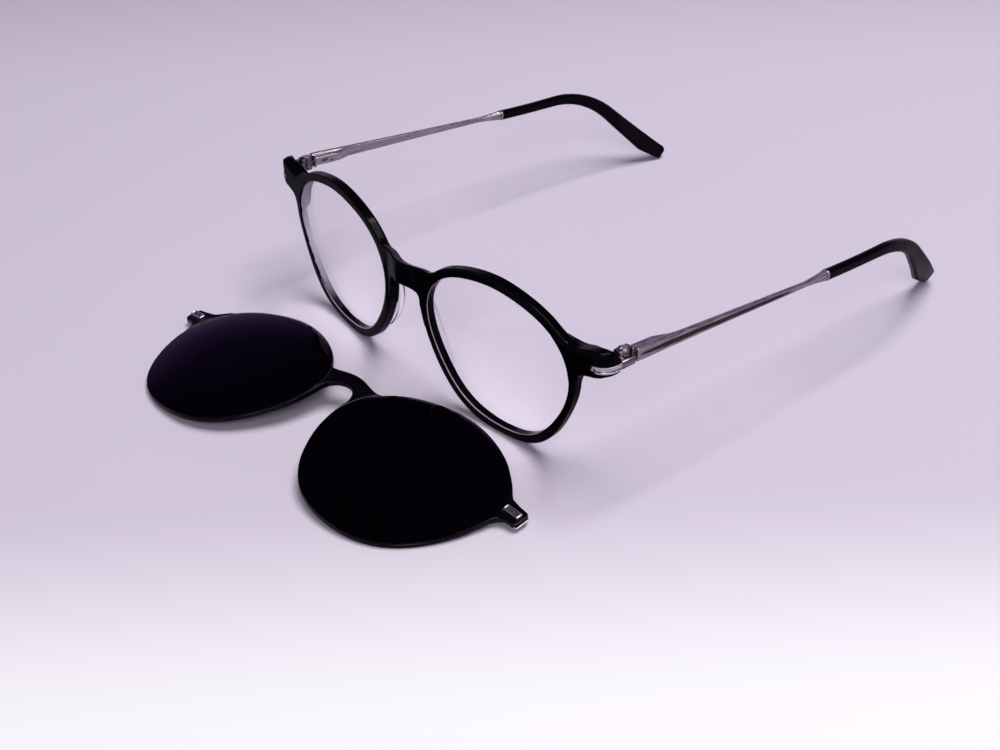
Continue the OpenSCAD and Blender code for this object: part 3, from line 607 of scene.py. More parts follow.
armVerts, armFaces = fieldSurface((-1.6, 1.9, -2.1), (3.6, 71.9, 2.1), temple["cell"], armField)
for side, name in sides:
    piece = meshObject("templeArm_" + name, onTemple(armVerts, side), armFaces, gunmetal, flip=side < 0)
    place(piece, "temple_" + name, "gunmetal", "temple_arm_" + name)
print("temple arms made", len(armFaces))


def inlayStrip():
    n = temple["inlaySides"]
    low, high = temple["out"] - temple["inlayDeep"] - 0.25, temple["out"] - 0.19
    ys = np.linspace(temple["start"] + 0.85, temple["start"] + 0.95 + temple["inlay"], 120)
    verts = []
    for y in ys:
        half = float(inlayHalf(y)) + 0.06
        verts += [(low, y, -half), (high, y, -half), (high + 0.03, y, 0), (high, y, half), (low, y, half)]
    faces = rowFaces(len(ys), n) + [tuple(range(n)), tuple((len(ys) - 1) * n + k for k in range(n))]
    return np.array(verts), faces


inlayVerts, inlayFaces = inlayStrip()
for side, name in sides:
    piece = meshObject("templeInlay_" + name, onTemple(inlayVerts, side), inlayFaces, inlayBrown, smooth=False)
    pointOutwards(piece)
    place(piece, "temple_" + name, "inlay_brown", "temple_inlay_" + name)
print("inlays made")


# sleeves follow a bent middle line
def sleeveLine(count=160):
    arc = sleeve["bendRadius"] * math.radians(sleeve["bend"])
    end = sleeve["bendAt"] + arc + sleeve["tail"]
    start = temple["sleeve"]
    lengths = np.linspace(start, end, count)

    def heading(s):
        rise = sleeve["rise"] * np.minimum(1, (s - start) / (sleeve["bendAt"] - sleeve["riseEnd"] - start))
        drop = sleeve["rise"] - sleeve["bend"] * np.minimum(1, (s - sleeve["bendAt"]) / arc)
        return np.radians(np.where(s < sleeve["bendAt"], rise, drop))

    step = lengths[1] - lengths[0]
    middle = heading(lengths[:-1] + step / 2)
    y = start + np.concatenate([[0], np.cumsum(np.cos(middle) * step)])
    z = np.concatenate([[0], np.cumsum(np.sin(middle) * step)])
    return lengths, y, z, heading(lengths)


def sleeveProfile():
    end = lineLengths[-1]
    widen = np.clip((lineLengths - sleeve["widenFrom"]) / (end - sleeve["widenFrom"]), 0, 1) ** 1.4
    half = sleeve["height"] / 2 + (sleeve["tip"] - sleeve["height"]) / 2 * widen
    cut = np.clip((lineLengths - end + sleeve["tipCut"]) / (sleeve["tipCut"] - 1), 0, 1)
    lower = half * (1 - cut) + (sleeve["tipEnd"] - half[-1]) * cut - sleeve["corner"]
    half = half - sleeve["corner"] - 0.25 * widen
    keep = lineLengths < end - sleeve["corner"]
    y, z, heading, half, lower = lineY[keep], lineZ[keep], lineTurn[keep], half[keep], lower[keep]
    upper = list(zip(y - np.sin(heading) * half, z + np.cos(heading) * half))
    under = list(zip(y + np.sin(heading) * lower, z - np.cos(heading) * lower))
    return [(y[0] - 3, half[0])] + upper[::4] + [upper[-1]] + under[::-1][::4] + [under[0], (y[0] - 3, -lower[0])]


lineLengths, lineY, lineZ, lineTurn = sleeveLine()
profilePoints = sleeveProfile()
profileY, profileZ = np.array(profilePoints).T
tipY = profileY.max() + sleeve["corner"]


def sleeveField(x, y, z):
    side = polygonDistance(y, z, profilePoints) - sleeve["corner"]
    bowed = np.maximum(y - sleeve["curve"], 0) / (lineLengths[-1] - sleeve["curve"])
    above = (z - np.interp(y, lineY, lineZ)) * np.cos(np.interp(y, lineY, lineTurn))
    twisted = math.tan(math.radians(sleeve["twist"])) * np.clip((y - sleeve["twistFrom"]) / sleeve["twistOver"], 0, 1)
    centre = sleeveX - sleeve["tailIn"] * bowed ** 2 + above * twisted
    near = np.clip((y - (tipY - 22)) / 22, 0, 1)
    half = sleeve["width"] / 2 - 0.1 * near
    body = roundMax(side, np.abs(x - centre) - half, 1.0 - 0.35 * near)
    return roundMax(body, temple["sleeve"] - y, 0.25)


low, high = (-14, temple["sleeve"] - 0.6, profileZ.min() - 2), (4, tipY + 0.6, profileZ.max() + 2)
sleeveVerts, sleeveFaces = fieldSurface(low, high, sleeve["cell"], sleeveField)
for side, name in sides:
    piece = meshObject("templeSleeve_" + name, onTemple(sleeveVerts, side), sleeveFaces, sleeveBlack, flip=side < 0)
    place(piece, "temple_" + name, "sleeve_black", "temple_sleeve_" + name)
print("sleeves made", len(sleeveFaces), "lowest", round(float(onTemple(sleeveVerts, 1)[:, 2].min()), 3))


# brackets bend round the lugs
def wrapY(x):
    return lugY - (lugX - x) * tanWrap


def lugArc(out, turn=0.0):
    radius = front["lugRadius"] + out
    return [(lugX + radius * math.cos(a), lugY + front["lugRadius"] + radius * math.sin(a))
            for a in np.radians(np.linspace(-90 + front["wrap"] + turn, 0, 16))]


def stripPlan(out, inner, endY, turn=0.0):
    return lugArc(out, turn) + [(sideX + out, endY), (sideX - inner, endY)] + lugArc(-inner, turn)[::-1]


hingeX, hingeY, armStart = hinge["x"], hinge["y"], hinge["y"] + temple["start"]
barrelPlan = [(hingeX + hinge["radius"] * math.cos(a), hingeY + hinge["radius"] * math.sin(a))
              for a in np.linspace(0, 2 * math.pi, 40, endpoint=False)]
kneeHeight = (hinge["height"] - hinge["barrel"]) / 2 - hinge["clear"]
kneeLow, kneeHigh = hinge["z"] - hinge["height"] / 2, hinge["z"] + hinge["barrel"] / 2 + hinge["clear"]
barrelLow, barrelHigh = hinge["z"] - hinge["barrel"] / 2, hinge["z"] + hinge["barrel"] / 2
stripLow, stripTop = hinge["stripZ"] - hinge["stripHeight"] / 2, hinge["stripZ"] + hinge["stripHeight"] / 2
stripX, stripInX = hinge["stripStart"], hinge["stripStart"] + hinge["stripEnd"]
plateX = (sideX - front["lugBack"], sideX + 0.1)
darkParts = [
    (prism([(stripX + 0.5, wrapY(stripX + 0.5) - 0.12)] + stripPlan(0.12, 0.5, lugEnd + 0.3)
           + [(stripX + 0.5, wrapY(stripX + 0.5) + 0.5)], stripLow + 0.1, stripTop - 0.1), 0.05),
    (slab((lugEnd, lugEnd + hinge["plate"]), plateX, plateX, (kneeLow, hinge["plateTop"])), 0.12),
    (slab((lugEnd + 0.1, armStart - 0.5), (sideX - 0.4, sideX + 0.5), (sideX - 0.45, sideX + 0.42),
          (stripLow + 0.1, stripTop + 0.35)), 0.3)]
for z in (kneeLow, kneeHigh):
    kneeX = (hingeX - 1.1, hingeX + 1.1)
    darkParts += [(prism(barrelPlan, z, z + kneeHeight), 0.14),
                  (slab((lugEnd + 0.4, hingeY), kneeX, kneeX, (z + 0.02, z + kneeHeight - 0.02)), 0.08)]
brightParts = [
    (prism([(stripX, wrapY(stripX) - 0.35), lugArc(0.35)[0], (stripInX, wrapY(stripInX) + 0.4),
            (stripX, wrapY(stripX) + 0.4)], stripLow + 0.62, stripTop - 0.1), 0.25),
    (prism(stripPlan(0.3, 0.4, hingeY + 0.2, 2), stripLow + 0.66, stripTop - 0.05), 0.22),
    (prism(stripPlan(0.42, 0.3, lugEnd + 0.3, 14), stripLow, stripLow + 0.5), 0.18)]
sliderParts = [
    (prism(barrelPlan, barrelLow, barrelHigh), 0.14),
    (slab((hingeY, armStart - 0.1), (hingeX - 0.85, hingeX + 0.85), (hingeX - 0.92, hingeX + 0.78),
          (barrelLow + 0.1, barrelHigh - 0.15)), 0.1),
    (slab((hingeY + 1.62, armStart - 0.05), (hingeX - 1.5, hingeX + 1.35), (hingeX - 1.55, hingeX + 1.3),
          (barrelLow - 0.9, barrelHigh + 0.85)), 0.16),
    (slab((hingeY + 1.6, hingeY + 9.2), (hingeX - 0.5, hingeX + 0.2), (hingeX - 0.8, hingeX - 0.1),
          (barrelLow + 0.1, barrelLow + 0.8)), 0.1)]
for side, name in sides:
    bracket = toSide(joined(darkParts, "hingeBracket_" + name, hingeMetal), side)
    place(bracket, "frame", "gunmetal", "bracket_" + name)
    place(toSide(joined(brightParts, "bracketStrip_" + name, brightSteel), side), "frame", "bright_steel")
    slider = toSide(joined(sliderParts, "hingeSlider_" + name, hingeMetal), side)
    place(slider, "slider_" + name, "gunmetal", "hinge_slider_" + name)
print("brackets and hinges made")


# trees of geometry nodes for what repeats or follows a path; the names in a piece's sizes are its tree's inputs
def newTree(name, sizes):
    tree = bpy.data.node_groups.new(name, "GeometryNodeTree")
    tree.interface.new_socket(name="Geometry", in_out="OUTPUT", socket_type="NodeSocketGeometry")
    tree.interface.new_socket(name="Geometry", in_out="INPUT", socket_type="NodeSocketGeometry")
    for label, value in sizes.items():
        socket = tree.interface.new_socket(name=label, in_out="INPUT", socket_type="NodeSocketFloat")
        socket.default_value = value
    return tree, tree.nodes.new("NodeGroupInput").outputs


def finishTree(tree, shape, material):
    real = result(tree, "GeometryNodeRealizeInstances", Geometry=shape)
    feed(tree, tree.nodes.new("NodeGroupOutput").inputs["Geometry"],
         result(tree, "GeometryNodeSetMaterial", Geometry=real, Material=material))
    return tree


def runTree(name, points, tree, sizes):
    mesh = bpy.data.meshes.new(name)
    mesh.from_pydata((np.asarray(points) * mm).tolist(), [], [])
    piece = bpy.data.objects.new(name, mesh)
    scene.collection.objects.link(piece)
    modifier = piece.modifiers.new("nodes", "NODES")
    modifier.node_group = tree
    for item in tree.interface.items_tree:
        if item.item_type == "SOCKET" and item.in_out == "INPUT" and item.name in sizes:
            modifier[item.identifier] = sizes[item.name]
    return applyModifiers(piece)


def alongZ(tree, value):
    return result(tree, "ShaderNodeCombineXYZ", Z=value)


def together(tree, *shapes):
    both = node(tree, "GeometryNodeJoinGeometry")
    for shape in shapes:
        feed(tree, both.inputs[0], shape)
    return both.outputs[0]


# a slotted head on a plain shank
def screwTree(sizes):
    tree, given = newTree("hingeScrew", sizes)
    head = result(tree, "GeometryNodeMeshCylinder", Vertices=48, Radius=given["Head radius"],
                  Depth=given["Head height"])
    shank = result(tree, "GeometryNodeMeshCylinder", Vertices=32, Radius=given["Shank radius"],
                   Depth=given["Shank length"])
    down = alongZ(tree, maths(tree, "MULTIPLY", given["Shank length"], -0.5))
    lowered = result(tree, "GeometryNodeTransform", Geometry=shank, Translation=down)
    bar = result(tree, "GeometryNodeMeshCube",
                 Size=result(tree, "ShaderNodeCombineXYZ", X=given["Slot width"], Y=4 * mm, Z=0.4 * mm))
    cut = node(tree, "GeometryNodeMeshBoolean", operation="DIFFERENCE")
    feed(tree, cut.inputs[0], head)
    feed(tree, cut.inputs[1], result(tree, "GeometryNodeTransform", Geometry=bar, Translation=(0, 0, 0.38 * mm)))
    copies = result(tree, "GeometryNodeInstanceOnPoints", Points=given["Geometry"],
                    Instance=together(tree, cut.outputs[0], lowered))
    return finishTree(tree, copies, brightSteel)


screw = {"Head radius": 1.0 * mm, "Head height": 0.64 * mm, "Shank radius": 0.58 * mm, "Shank length": 3.7 * mm,
         "Slot width": 0.22 * mm}
screwPlaces = [(side * hingeX, hingeY, kneeHigh + kneeHeight - 0.18) for side, name in sides]
screws = bevelled(runTree("hingeScrews", screwPlaces, screwTree(screw), screw), 0.06)
place(screws, "frame", "bright_steel", "hinge_screws")


# a shaft with a low domed end
def pinTree(sizes):
    tree, given = newTree("bracketPin", sizes)
    shaft = result(tree, "GeometryNodeMeshCylinder", Vertices=28, Radius=given["Radius"], Depth=given["Length"])
    dome = result(tree, "GeometryNodeMeshUVSphere", Segments=28, Rings=10, Radius=given["Radius"])
    raised = result(tree, "GeometryNodeTransform", Geometry=dome, Scale=(1, 1, 0.4),
                    Translation=alongZ(tree, maths(tree, "MULTIPLY", given["Length"], 0.5)))
    copies = result(tree, "GeometryNodeInstanceOnPoints", Points=given["Geometry"],
                    Rotation=(math.radians(-90), 0, 0), Instance=together(tree, shaft, raised))
    return finishTree(tree, copies, springSteel)


pin = {"Radius": 0.44 * mm, "Length": 3.05 * mm}
pinPlaces = [(side * x, lugEnd - 0.62, hinge["z"])
             for side, name in sides for x in (sideX - front["lugBack"] + 1, sideX - 1.1)]
pins = runTree("bracketPins", pinPlaces, pinTree(pin), pin)
showSmooth(pins)
pins.data.set_sharp_from_angle(angle=0.7)
place(pins, "frame", "bright_steel", "bracket_pins")


# a wire swept along a coil, set in the temple's chamber
def coilTree(sizes):
    tree, given = newTree("hingeSpring", sizes)
    coil = result(tree, "GeometryNodeCurveSpiral", Resolution=24, Rotations=given["Turns"], Height=given["Length"],
                  Start_Radius=given["Coil radius"], End_Radius=given["Coil radius"])
    wire = result(tree, "GeometryNodeCurvePrimitiveCircle", Resolution=10, Radius=given["Wire radius"])
    tube = result(tree, "GeometryNodeCurveToMesh", Fill_Caps=True, Curve=coil, Profile_Curve=wire)
    return finishTree(tree, tube, springSteel)


spring = {"Turns": 6.0, "Length": 4.5 * mm, "Coil radius": 0.52 * mm, "Wire radius": 0.13 * mm}
springTree = coilTree(spring)
for side, name in sides:
    coil = runTree("hingeSpring_" + name, [(0, 0, 0)], springTree, spring)
    x, y, z = readVerts(coil).T
    turned = np.stack([x + temple["chamberX"], z + temple["start"] + 1.25, -y], axis=1)
    writeVerts(coil, onTemple(turned, side), side < 0)
    showSmooth(coil)
    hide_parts("hinge_spring_" + name)
    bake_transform(coil)


# a filleted outline swept along a short line
def ringTree(sizes):
    tree, given = newTree("sleeveRing", sizes)
    outline = result(tree, "GeometryNodeCurvePrimitiveQuadrilateral", Width=given["Width"], Height=given["Height"])
    soft = result(tree, "GeometryNodeFilletCurve", mode="POLY", Count=8, Radius=given["Corner"], Curve=outline)
    line = result(tree, "GeometryNodeCurvePrimitiveLine", End=alongZ(tree, given["Thickness"]))
    body = result(tree, "GeometryNodeCurveToMesh", Fill_Caps=True, Curve=line, Profile_Curve=soft)
    return finishTree(tree, body, ringSteel)


ring = {"Width": 2.9 * mm, "Height": 2.6 * mm, "Thickness": 0.6 * mm, "Corner": 0.85 * mm}
bandTree = ringTree(ring)
for side, name in sides:
    band = runTree("sleeveRing_" + name, [(0, 0, 0)], bandTree, ring)
    x, y, z = readVerts(band).T
    turned = np.stack([sleeveX + y / np.abs(y).max() * sleeve["width"] / 2, temple["sleeve"] - temple["ring"] + z,
                       x / np.abs(x).max() * sleeve["height"] / 2], axis=1)
    writeVerts(band, onTemple(turned, side), side < 0)
    bevelled(band, 0.15, 3)
    pointOutwards(band)
    place(band, "temple_" + name, "bright_steel", "sleeve_ring_" + name)
print("screws, pins, springs and rings made")

# sun clip, worked out flat and then bent back at both sides
clip = {"width": 55.2, "height": 48.0, "panto": 0.7, "crown": 0.31, "wrap": 4.7, "centre": 34.0, "middle": 5,
        "thick": 1.6, "edge": 1.1, "ledge": 1, "lensThick": 0.9, "gap": 0.03, "top": 15.1, "arch": 5.6, "archUp": 5.5,
        "lugX": 68.2, "lugHeight": 5.1, "cupUp": 7.6, "cupX": 64.9, "cupWidth": 5, "cupHeight": 2, "cupProud": 0.9,
        "x": 2.3, "y": -34.4, "yaw": 5.5, "tilt": 5.5, "cell": 0.2, "plate": 0.36, "fall": 0.32, "dome": 1.0}
clipForm = tuple(clip[key] for key in ("width", "height", "panto", "crown"))
clipWrap, clipTilt = math.radians(clip["wrap"]), math.radians(clip["tilt"])
clipCos, clipSin = math.cos(clipWrap), math.sin(clipWrap)


# how high the clip stands, so that its lowest point is on the table
def clipRest():
    angles = np.radians(np.arange(0, 360, 3))
    reach = lensReach(angles, clipForm)
    across = (clip["centre"] - clip["middle"] + reach * np.cos(angles)) * clipSin + clip["thick"] * clipCos
    return float(np.max(across * math.cos(clipTilt) - reach * np.sin(angles) * math.sin(clipTilt)))


clipPlace = np.array(Matrix.Translation((clip["x"], clip["y"], clipRest()))
                     @ Matrix.Rotation(math.radians(clip["yaw"]), 4, "Z") @ Matrix.Rotation(clipTilt, 4, "X"))


def bendClip(verts):
    x, y, z = np.asarray(verts, float).T
    away = np.maximum(np.abs(x) - clip["middle"], 0)
    along = np.minimum(np.abs(x), clip["middle"]) + away * clipCos + z * clipSin * (away > 0)
    bent = np.stack([np.sign(x) * along, y, z * np.where(away > 0, clipCos, 1) - away * clipSin], axis=1)
    return bent @ clipPlace[:3, :3].T + clipPlace[:3, 3]


def clipBridge():
    arch, up = clip["arch"], clip["archUp"]
    top = [(x, clip["top"] - 1.4 + 0.7 * (1 + math.cos(math.pi * min(abs(x), 9) / 9))) for x in np.arange(-15, 15.1, 1)]
    side = [(15, -9), (8.6, -7), (7.2, -3.5), (6.3, 0), (5.8, 2.8), (arch, up)]
    under = [(arch * math.cos(a), up + arch * math.sin(a)) for a in np.radians(np.arange(10, 171, 10))]
    return top + side + under + [(-x, y) for x, y in side[::-1]]


lugUp, lugDown, lugTip = clip["cupUp"] + clip["lugHeight"] / 2, clip["cupUp"] - clip["lugHeight"] / 2, clip["lugX"]
clipLugPoints = [
    (50, 16), (55.5, 15.6), (58.2, 14.0), (61.5, lugUp + 1), (64.7, lugUp + 0.3), (lugTip - 0.8, lugUp),
    (lugTip, lugUp - 1), (lugTip, lugDown + 0.8), (lugTip - 0.8, lugDown), (65, lugDown - 0.1), (63.4, lugDown - 0.8),
    (62.2, lugDown - 2.6), (61.4, 0), (50, -2)]
clipBridgePoints = clipBridge()


def fromCup(x, y):
    return np.abs(x - clip["cupX"]) - clip["cupWidth"] / 2, np.abs(y - clip["cupUp"]) - clip["cupHeight"] / 2


def clipField(x, y, z):
    x = np.abs(x)
    edge, lean = lensEdge(x - clip["centre"], y, clipForm)
    outline = smoothMin(edge, polygonDistance(x, y, clipBridgePoints), 1.2)
    outline = smoothMin(outline, polygonDistance(x, y, clipLugPoints), 1.2)
    lower = clip["plate"] * np.clip((0.3 - edge) / 0.3, 0, 1)
    body = roundMax(outline, np.maximum(z + lower, -z - clip["thick"]), 0.2)
    seat = np.maximum(edge + clip["edge"] * lean, -z - clip["lensThick"])
    hole = edge + (clip["edge"] + clip["ledge"]) * lean
    return np.maximum(np.maximum(body, -np.minimum(seat, hole)), -np.maximum(*fromCup(x, y)))


verts, faces = fieldSurface((-69.4, -25.5, -2.3), (69.4, 25.5, 0.7), clip["cell"], clipField)
place(meshObject("clipCarrier", bendClip(verts), faces, clipBlack), "clip", "clip_edge", "clip_carrier")
print("clip carrier made", len(faces))


# a disc drawn out to the lens outline, with a domed top whose upper edge falls
def sunLensTree(sizes):
    tree, given = newTree("sunLens", sizes)

    def calc(operation, *values):
        return maths(tree, operation, *values)

    disc = result(tree, "GeometryNodeMeshCylinder", Vertices=240, Side_Segments=1, Fill_Segments=24, Radius=1.0,
                  Depth=given["Thickness"])
    x, y, z = node(tree, "ShaderNodeSeparateXYZ", Vector=result(tree, "GeometryNodeInputPosition")).outputs
    angle = calc("ARCTAN2", y, x)
    half = calc("MULTIPLY", calc("ADD", given["Width"], given["Height"]), 0.25)
    oval = calc("MULTIPLY", calc("SUBTRACT", given["Width"], given["Height"]), 0.25)
    reach = calc("ADD", half, calc("MULTIPLY", oval, calc("COSINE", calc("MULTIPLY", angle, 2.0))))
    for label, times in (("Panto", 3.0), ("Crown", 5.0)):
        reach = calc("ADD", reach, calc("MULTIPLY", given[label], calc("SINE", calc("MULTIPLY", angle, times))))
    reach = calc("SUBTRACT", reach, given["Inset"])
    flat = calc("ADD", calc("MULTIPLY", x, x), calc("MULTIPLY", y, y))
    isTop = calc("GREATER_THAN", z, 0.0)
    crown = calc("SUBTRACT", 1.0, calc("POWER", flat, 1.7))
    rise = calc("MULTIPLY", calc("MULTIPLY", given["Dome"], crown), isTop)
    upperEdge = calc("MULTIPLY", calc("MULTIPLY", calc("GREATER_THAN", flat, 0.98), isTop), calc("MAXIMUM", y, 0.0))
    rise = calc("SUBTRACT", rise, calc("MULTIPLY", upperEdge, given["Edge fall"]))
    spot = result(tree, "ShaderNodeCombineXYZ", X=calc("MULTIPLY", reach, x), Y=calc("MULTIPLY", reach, y),
                  Z=calc("ADD", z, rise))
    return finishTree(tree, result(tree, "GeometryNodeSetPosition", Geometry=disc, Position=spot), sunDark)


def sunLensSizes(thick, inset, dome=0.0, fall=0.0):
    names = ("Width", "Height", "Panto", "Crown", "Thickness", "Inset", "Dome", "Edge fall")
    return {label: value * mm for label, value in zip(names, (*clipForm, thick, inset, dome, fall))}


coverLens = {"title": "sunLens_", "top": 0.03, "stood": ["sun_lens_"],
             "sizes": sunLensSizes(clip["plate"], 0.06, clip["dome"], clip["fall"])}
seatLens = {"title": "sunLensBack_", "top": 0.03 - clip["plate"], "stood": [],
            "sizes": sunLensSizes(clip["lensThick"] - clip["plate"], clip["edge"] + clip["gap"])}
lensTree = sunLensTree(coverLens["sizes"])
for side, name in sides:
    for part in (coverLens, seatLens):
        lens = bevelled(runTree(part["title"] + name, [(0, 0, 0)], lensTree, part["sizes"]), 0.04, 2, 0.8)
        lens.data.set_sharp_from_angle(angle=0.14)
        local = readVerts(lens) + (clip["centre"], 0, part["top"] - part["sizes"]["Thickness"] / mm / 2)
        writeVerts(lens, bendClip(sided(local, side)), side < 0)
        place(lens, "clip", "sun_lens_dark", *[stood + name for stood in part["stood"]])
print("sun lenses made")


def cupField(x, y, z):
    dx, dy = fromCup(x, y)
    outside = roundMax(roundMax(dx + 0.02, dy + 0.02, 0.45), np.maximum(z - clip["cupProud"], -z - clip["thick"]), 0.22)
    well = np.maximum(roundMax(dx + 0.34, dy + 0.34, 0.25), clip["cupProud"] - 0.1 - z)
    return np.maximum(outside, -well)


def coreField(x, y, z):
    outline = roundMax(np.abs(x - clip["cupX"]) - 2.1, np.abs(y - clip["cupUp"]) - 0.6, 0.2)
    return roundMax(outline, np.maximum(z - clip["cupProud"] + 0.13, -z - clip["thick"] - 0.18), 0.08)


low, high = (clip["cupX"] - 3, clip["cupUp"] - 1.6, -2.2), (clip["cupX"] + 3, clip["cupUp"] + 1.6, 1.4)
cupParts = ((fieldSurface(low, high, 0.08, cupField), "clipCup_", cupSteel, "bright_steel", "clip_cup_"),
            (fieldSurface(low, high, 0.1, coreField), "clipMagnet_", magnetPlated, "magnet_plated", "clip_magnet_"))
# painted highlight: a thin bright steel plate under each lug's end, which shows as a light line along its lower edge
highlightPlatePoints = [
    (63.4, lugDown - 0.7), (65, lugDown - 0.2), (lugTip - 0.8, lugDown - 0.12), (lugTip + 0.12, lugDown + 0.72),
    (lugTip + 0.12, lugUp - 0.95), (lugTip - 0.75, lugUp + 0.1), (65, lugUp + 0.25), (63.4, lugUp + 0.55)]
highlightPlate = prism(highlightPlatePoints, -clip["thick"], -clip["thick"] + 0.5)
for side, name in sides:
    for (verts, faces), title, finish, slotName, stood in cupParts:
        piece = meshObject(title + name, bendClip(sided(verts, side)), faces, finish, flip=side < 0)
        place(piece, "clip", slotName, stood + name)
    piece = bevelled(meshObject("clipEndPlate_" + name, *highlightPlate, cupSteel, smooth=False), 0.08)
    writeVerts(piece, bendClip(sided(readVerts(piece), side)), side < 0)
    place(piece, "clip", "bright_steel")
print("clip magnets made")

# lug magnets lie flush in the front
magnet = {"x": 64.6, "z": 33.2, "width": 3.0, "height": 1.9, "thick": 1.5, "sunk": 0.03}
magnetX = [magnet["x"] - magnet["width"] / 2, magnet["x"] + magnet["width"] / 2]
magnetY = [float(frontY(x)) - magnet["sunk"] for x in magnetX]
magnetPoints = list(zip(magnetX, magnetY)) + [
    (x - 0.15, y + magnet["thick"]) for x, y in zip(magnetX[::-1], magnetY[::-1])]
magnetShape = prism(magnetPoints, magnet["z"] - magnet["height"] / 2, magnet["z"] + magnet["height"] / 2)
for side, name in sides:
    piece = bevelled(meshObject("lugMagnet_" + name, *magnetShape, magnetBlack, smooth=False), 0.1)
    place(toSide(piece, side), "frame", "magnet_plated", "lug_magnet_" + name)

# clear lenses: rows from the middle to the edge, front and back, with the edge bevel in the rim's groove
clearShape = {"curve": 300, "back": 0.5, "thick": 1.2, "groove": 0.55, "grooveBack": 2.25, "gap": 0.02}


def clearLensMesh():
    angles = np.radians(np.arange(0, 360, 2))
    reach = lensReach(angles, lensForm) - clearShape["gap"]
    shares = np.linspace(0.04, 1, 20)

    def row(share, back):
        r = reach * share
        return r, -back - (clearShape["curve"] - np.sqrt(clearShape["curve"] ** 2 - r ** 2))

    rows = [row(share, clearShape["back"]) for share in shares]
    rows.append((reach + clearShape["groove"], np.full(len(angles), -clearShape["grooveBack"])))
    rows += [row(share, clearShape["back"] + clearShape["thick"]) for share in shares[::-1]]
    verts = np.concatenate([np.stack([r * np.cos(angles), r * np.sin(angles), z], axis=1) for r, z in rows])
    n, last = len(angles), (len(rows) - 1) * len(angles)
    return verts, rowFaces(len(rows), n) + [tuple(range(n)), tuple(range(last, last + n))[::-1]]


def onRim(verts, side):
    x, y, z = np.asarray(verts).T
    return sided(np.stack([lensX + x * cosWrap + z * sinWrap, x * sinWrap - z * cosWrap, lensZ + y], axis=1), side)


lensVerts, lensFaces = clearLensMesh()
for side, name in sides:
    piece = meshObject("clearLens_" + name, onRim(lensVerts, side), lensFaces, clearLens, flip=side < 0)
    piece.data.set_sharp_from_angle(angle=0.35)
    place(piece, "frame", "demo_lens", "lens_" + name)
print("clear lenses made")

# painted highlight: a thin light grey line runs along the front edge of each lens opening, widest beside the nose and
# below
highlightLine = {"radius": 0.16, "from": 150, "to": 318, "sides": 8}


def highlightLineMesh():
    n = highlightLine["sides"]
    degrees = np.arange(highlightLine["from"], highlightLine["to"] + 1, 2)
    reach = lensReach(np.radians(degrees), lensForm)
    fade = np.sin(np.pi * (degrees - highlightLine["from"]) / (highlightLine["to"] - highlightLine["from"])) ** 0.35
    verts = []
    for a, far, share in zip(np.radians(degrees), reach, fade):
        r = highlightLine["radius"] * (0.15 + 0.85 * share)
        for turn in 2 * np.pi * np.arange(n) / n:
            out = far + 0.1 + r * math.cos(turn)
            verts.append((out * math.cos(a), out * math.sin(a), -0.13 + r * math.sin(turn)))
    last = len(verts) - n
    return np.array(verts), rowFaces(len(degrees), n) + [tuple(range(n)), tuple(range(last, last + n))[::-1]]


highlightLineVerts, highlightLineFaces = highlightLineMesh()
for side, name in sides:
    piece = meshObject("paintedHighlightLine_" + name, onRim(highlightLineVerts, side), highlightLineFaces, paintedEdgeHighlight, flip=side < 0)
    place(piece, "frame", "acetate_black")
print("edge lines made")

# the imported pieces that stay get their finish
for side, name in sides:
    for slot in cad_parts["spring_stop_" + name].material_slots:
        slot.material = springSteel
print("packed pieces finished")

# table: painted shade, pale in front and softly darker behind, by the distance along a line; shiny pieces mirror a
# darker one
table = {"size": 6.0, "sight": (-0.795, 0.606), "from": -0.16, "to": 0.45, "mirrored": (0.34, 0.3, 0.37), "shades": [
    (-0.13, (0.88, 0.88, 0.88)), (-0.05, (0.6, 0.55, 0.64)), (0.2, (0.6, 0.55, 0.64)), (0.35, (0.52, 0.46, 0.56))]}
floorPaint, tree, inputs = newMaterial("tablePaint", table["shades"][0][1], 0.6, Specular_IOR_Level=0.15)
x, y, z = axes(tree)
along = maths(tree, "MULTIPLY_ADD", x, table["sight"][0], maths(tree, "MULTIPLY", y, table["sight"][1]))
share = result(tree, "ShaderNodeMapRange", Value=along, From_Min=table["from"], From_Max=table["to"])
path = node(tree, "ShaderNodeLightPath").outputs
shown = node(tree, "ShaderNodeMix", data_type="RGBA")
feed(tree, shown.inputs[0], maths(tree, "SUBTRACT", path["Is Glossy Ray"], path["Is Transmission Ray"], clamp=True))
feed(tree, shown.inputs[6], ramped(tree, share, [
    ((distance - table["from"]) / (table["to"] - table["from"]), colour) for distance, colour in table["shades"]], "EASE"))
feed(tree, shown.inputs[7], (*table["mirrored"], 1))
feed(tree, inputs["Base Color"], shown.outputs[2])
half = table["size"] / 2 / mm
floor = meshObject("tableTop", [(-half, -half, 0), (half, -half, 0), (half, half, 0), (-half, half, 0)], [(0, 1, 2, 3)],
                   floorPaint, smooth=False)

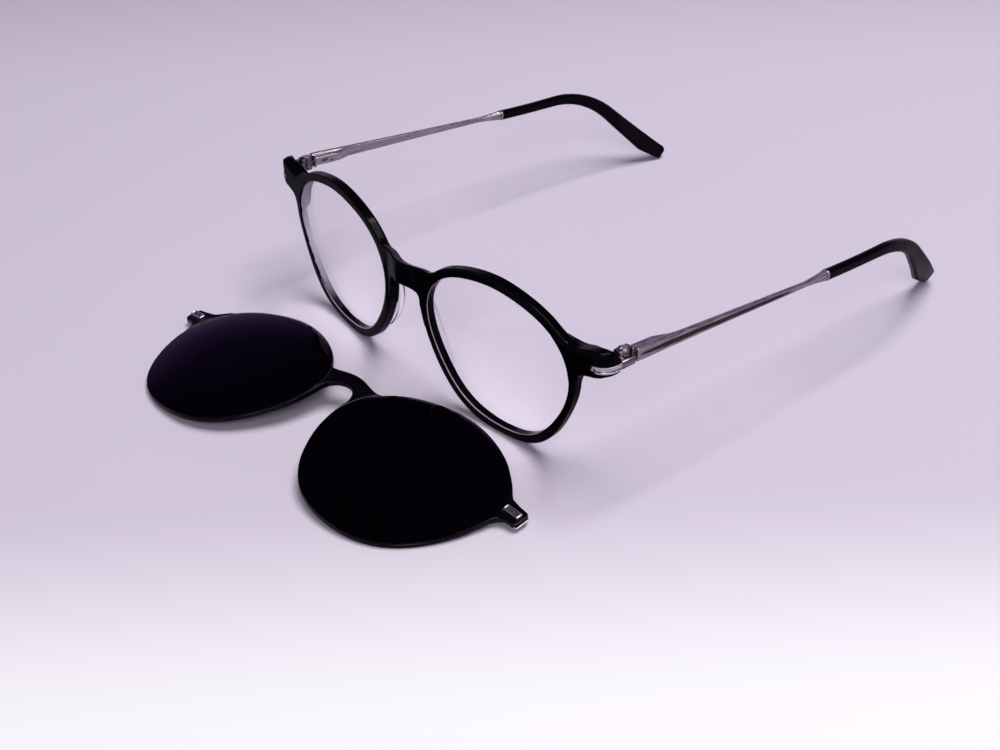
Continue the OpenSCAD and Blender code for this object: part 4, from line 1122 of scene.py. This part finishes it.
# backdrop colour by height above the table
backdrop = [(0.0, (0.62, 0.57, 0.7)), (0.2, (0.46, 0.38, 0.6)), (0.36, (0.18, 0.1, 0.32)), (0.46, (0.05, 0.025, 0.11)),
            (0.55, (0.015, 0.01, 0.025)), (0.9, (0.02, 0.018, 0.025))]
scene.world = bpy.data.worlds.new("studio")
scene.world.use_nodes = True
tree = scene.world.node_tree
feed(tree, tree.nodes["Background"].inputs["Color"], ramped(tree, axes(tree, "Generated")["Z"], backdrop))
tree.nodes["Background"].inputs["Strength"].default_value = 1.0

lampColour, lampTarget = (1.0, 0.98, 1.0), Vector((0, 0.03, 0))
lamps = {
    "overhead": {"at": (0.2, 0.3, 1.4), "size": 1.0, "power": 18.0},
    "small": {"at": (-0.1, 0.6, 1.2), "size": 0.2, "power": 1.45},
    "front": {"at": (1.0, -0.8, 1.0), "size": 0.7, "power": 8.4},
}
for name, lamp in lamps.items():
    light = bpy.data.lights.new(name, "AREA")
    light.shape = "DISK"
    light.size = lamp["size"]
    light.energy = lamp["power"]
    light.color = lampColour
    item = bpy.data.objects.new(name, light)
    scene.collection.objects.link(item)
    item.location = lamp["at"]
    item.rotation_euler = (lampTarget - Vector(lamp["at"])).to_track_quat("-Z", "Y").to_euler()

# camera at the photograph's place
view = {"place": (287.61, -191.75, 227.53), "yaw": 52.66, "pitch": 33.47, "roll": -1.86, "lens": 54.71}
yaw, pitch, roll = (math.radians(view[key]) for key in ("yaw", "pitch", "roll"))
right = Vector((math.cos(yaw), math.sin(yaw), 0))
ahead = Vector((-math.sin(yaw) * math.cos(pitch), math.cos(yaw) * math.cos(pitch), -math.sin(pitch)))
up = right.cross(ahead)
columns = (right * math.cos(roll) + up * math.sin(roll), up * math.cos(roll) - right * math.sin(roll), -ahead,
           Vector(view["place"]) * mm)
camera = bpy.data.objects.new("camera", bpy.data.cameras.new("camera"))
camera.data.lens = view["lens"]
camera.data.sensor_width = 36
camera.data.clip_start = 0.01
scene.collection.objects.link(camera)
camera.matrix_world = Matrix([[column[i] for column in columns] for i in range(3)] + [[0, 0, 0, 1]])
scene.camera = camera
scene.view_settings.view_transform = "Standard"
print("table, light and camera set")
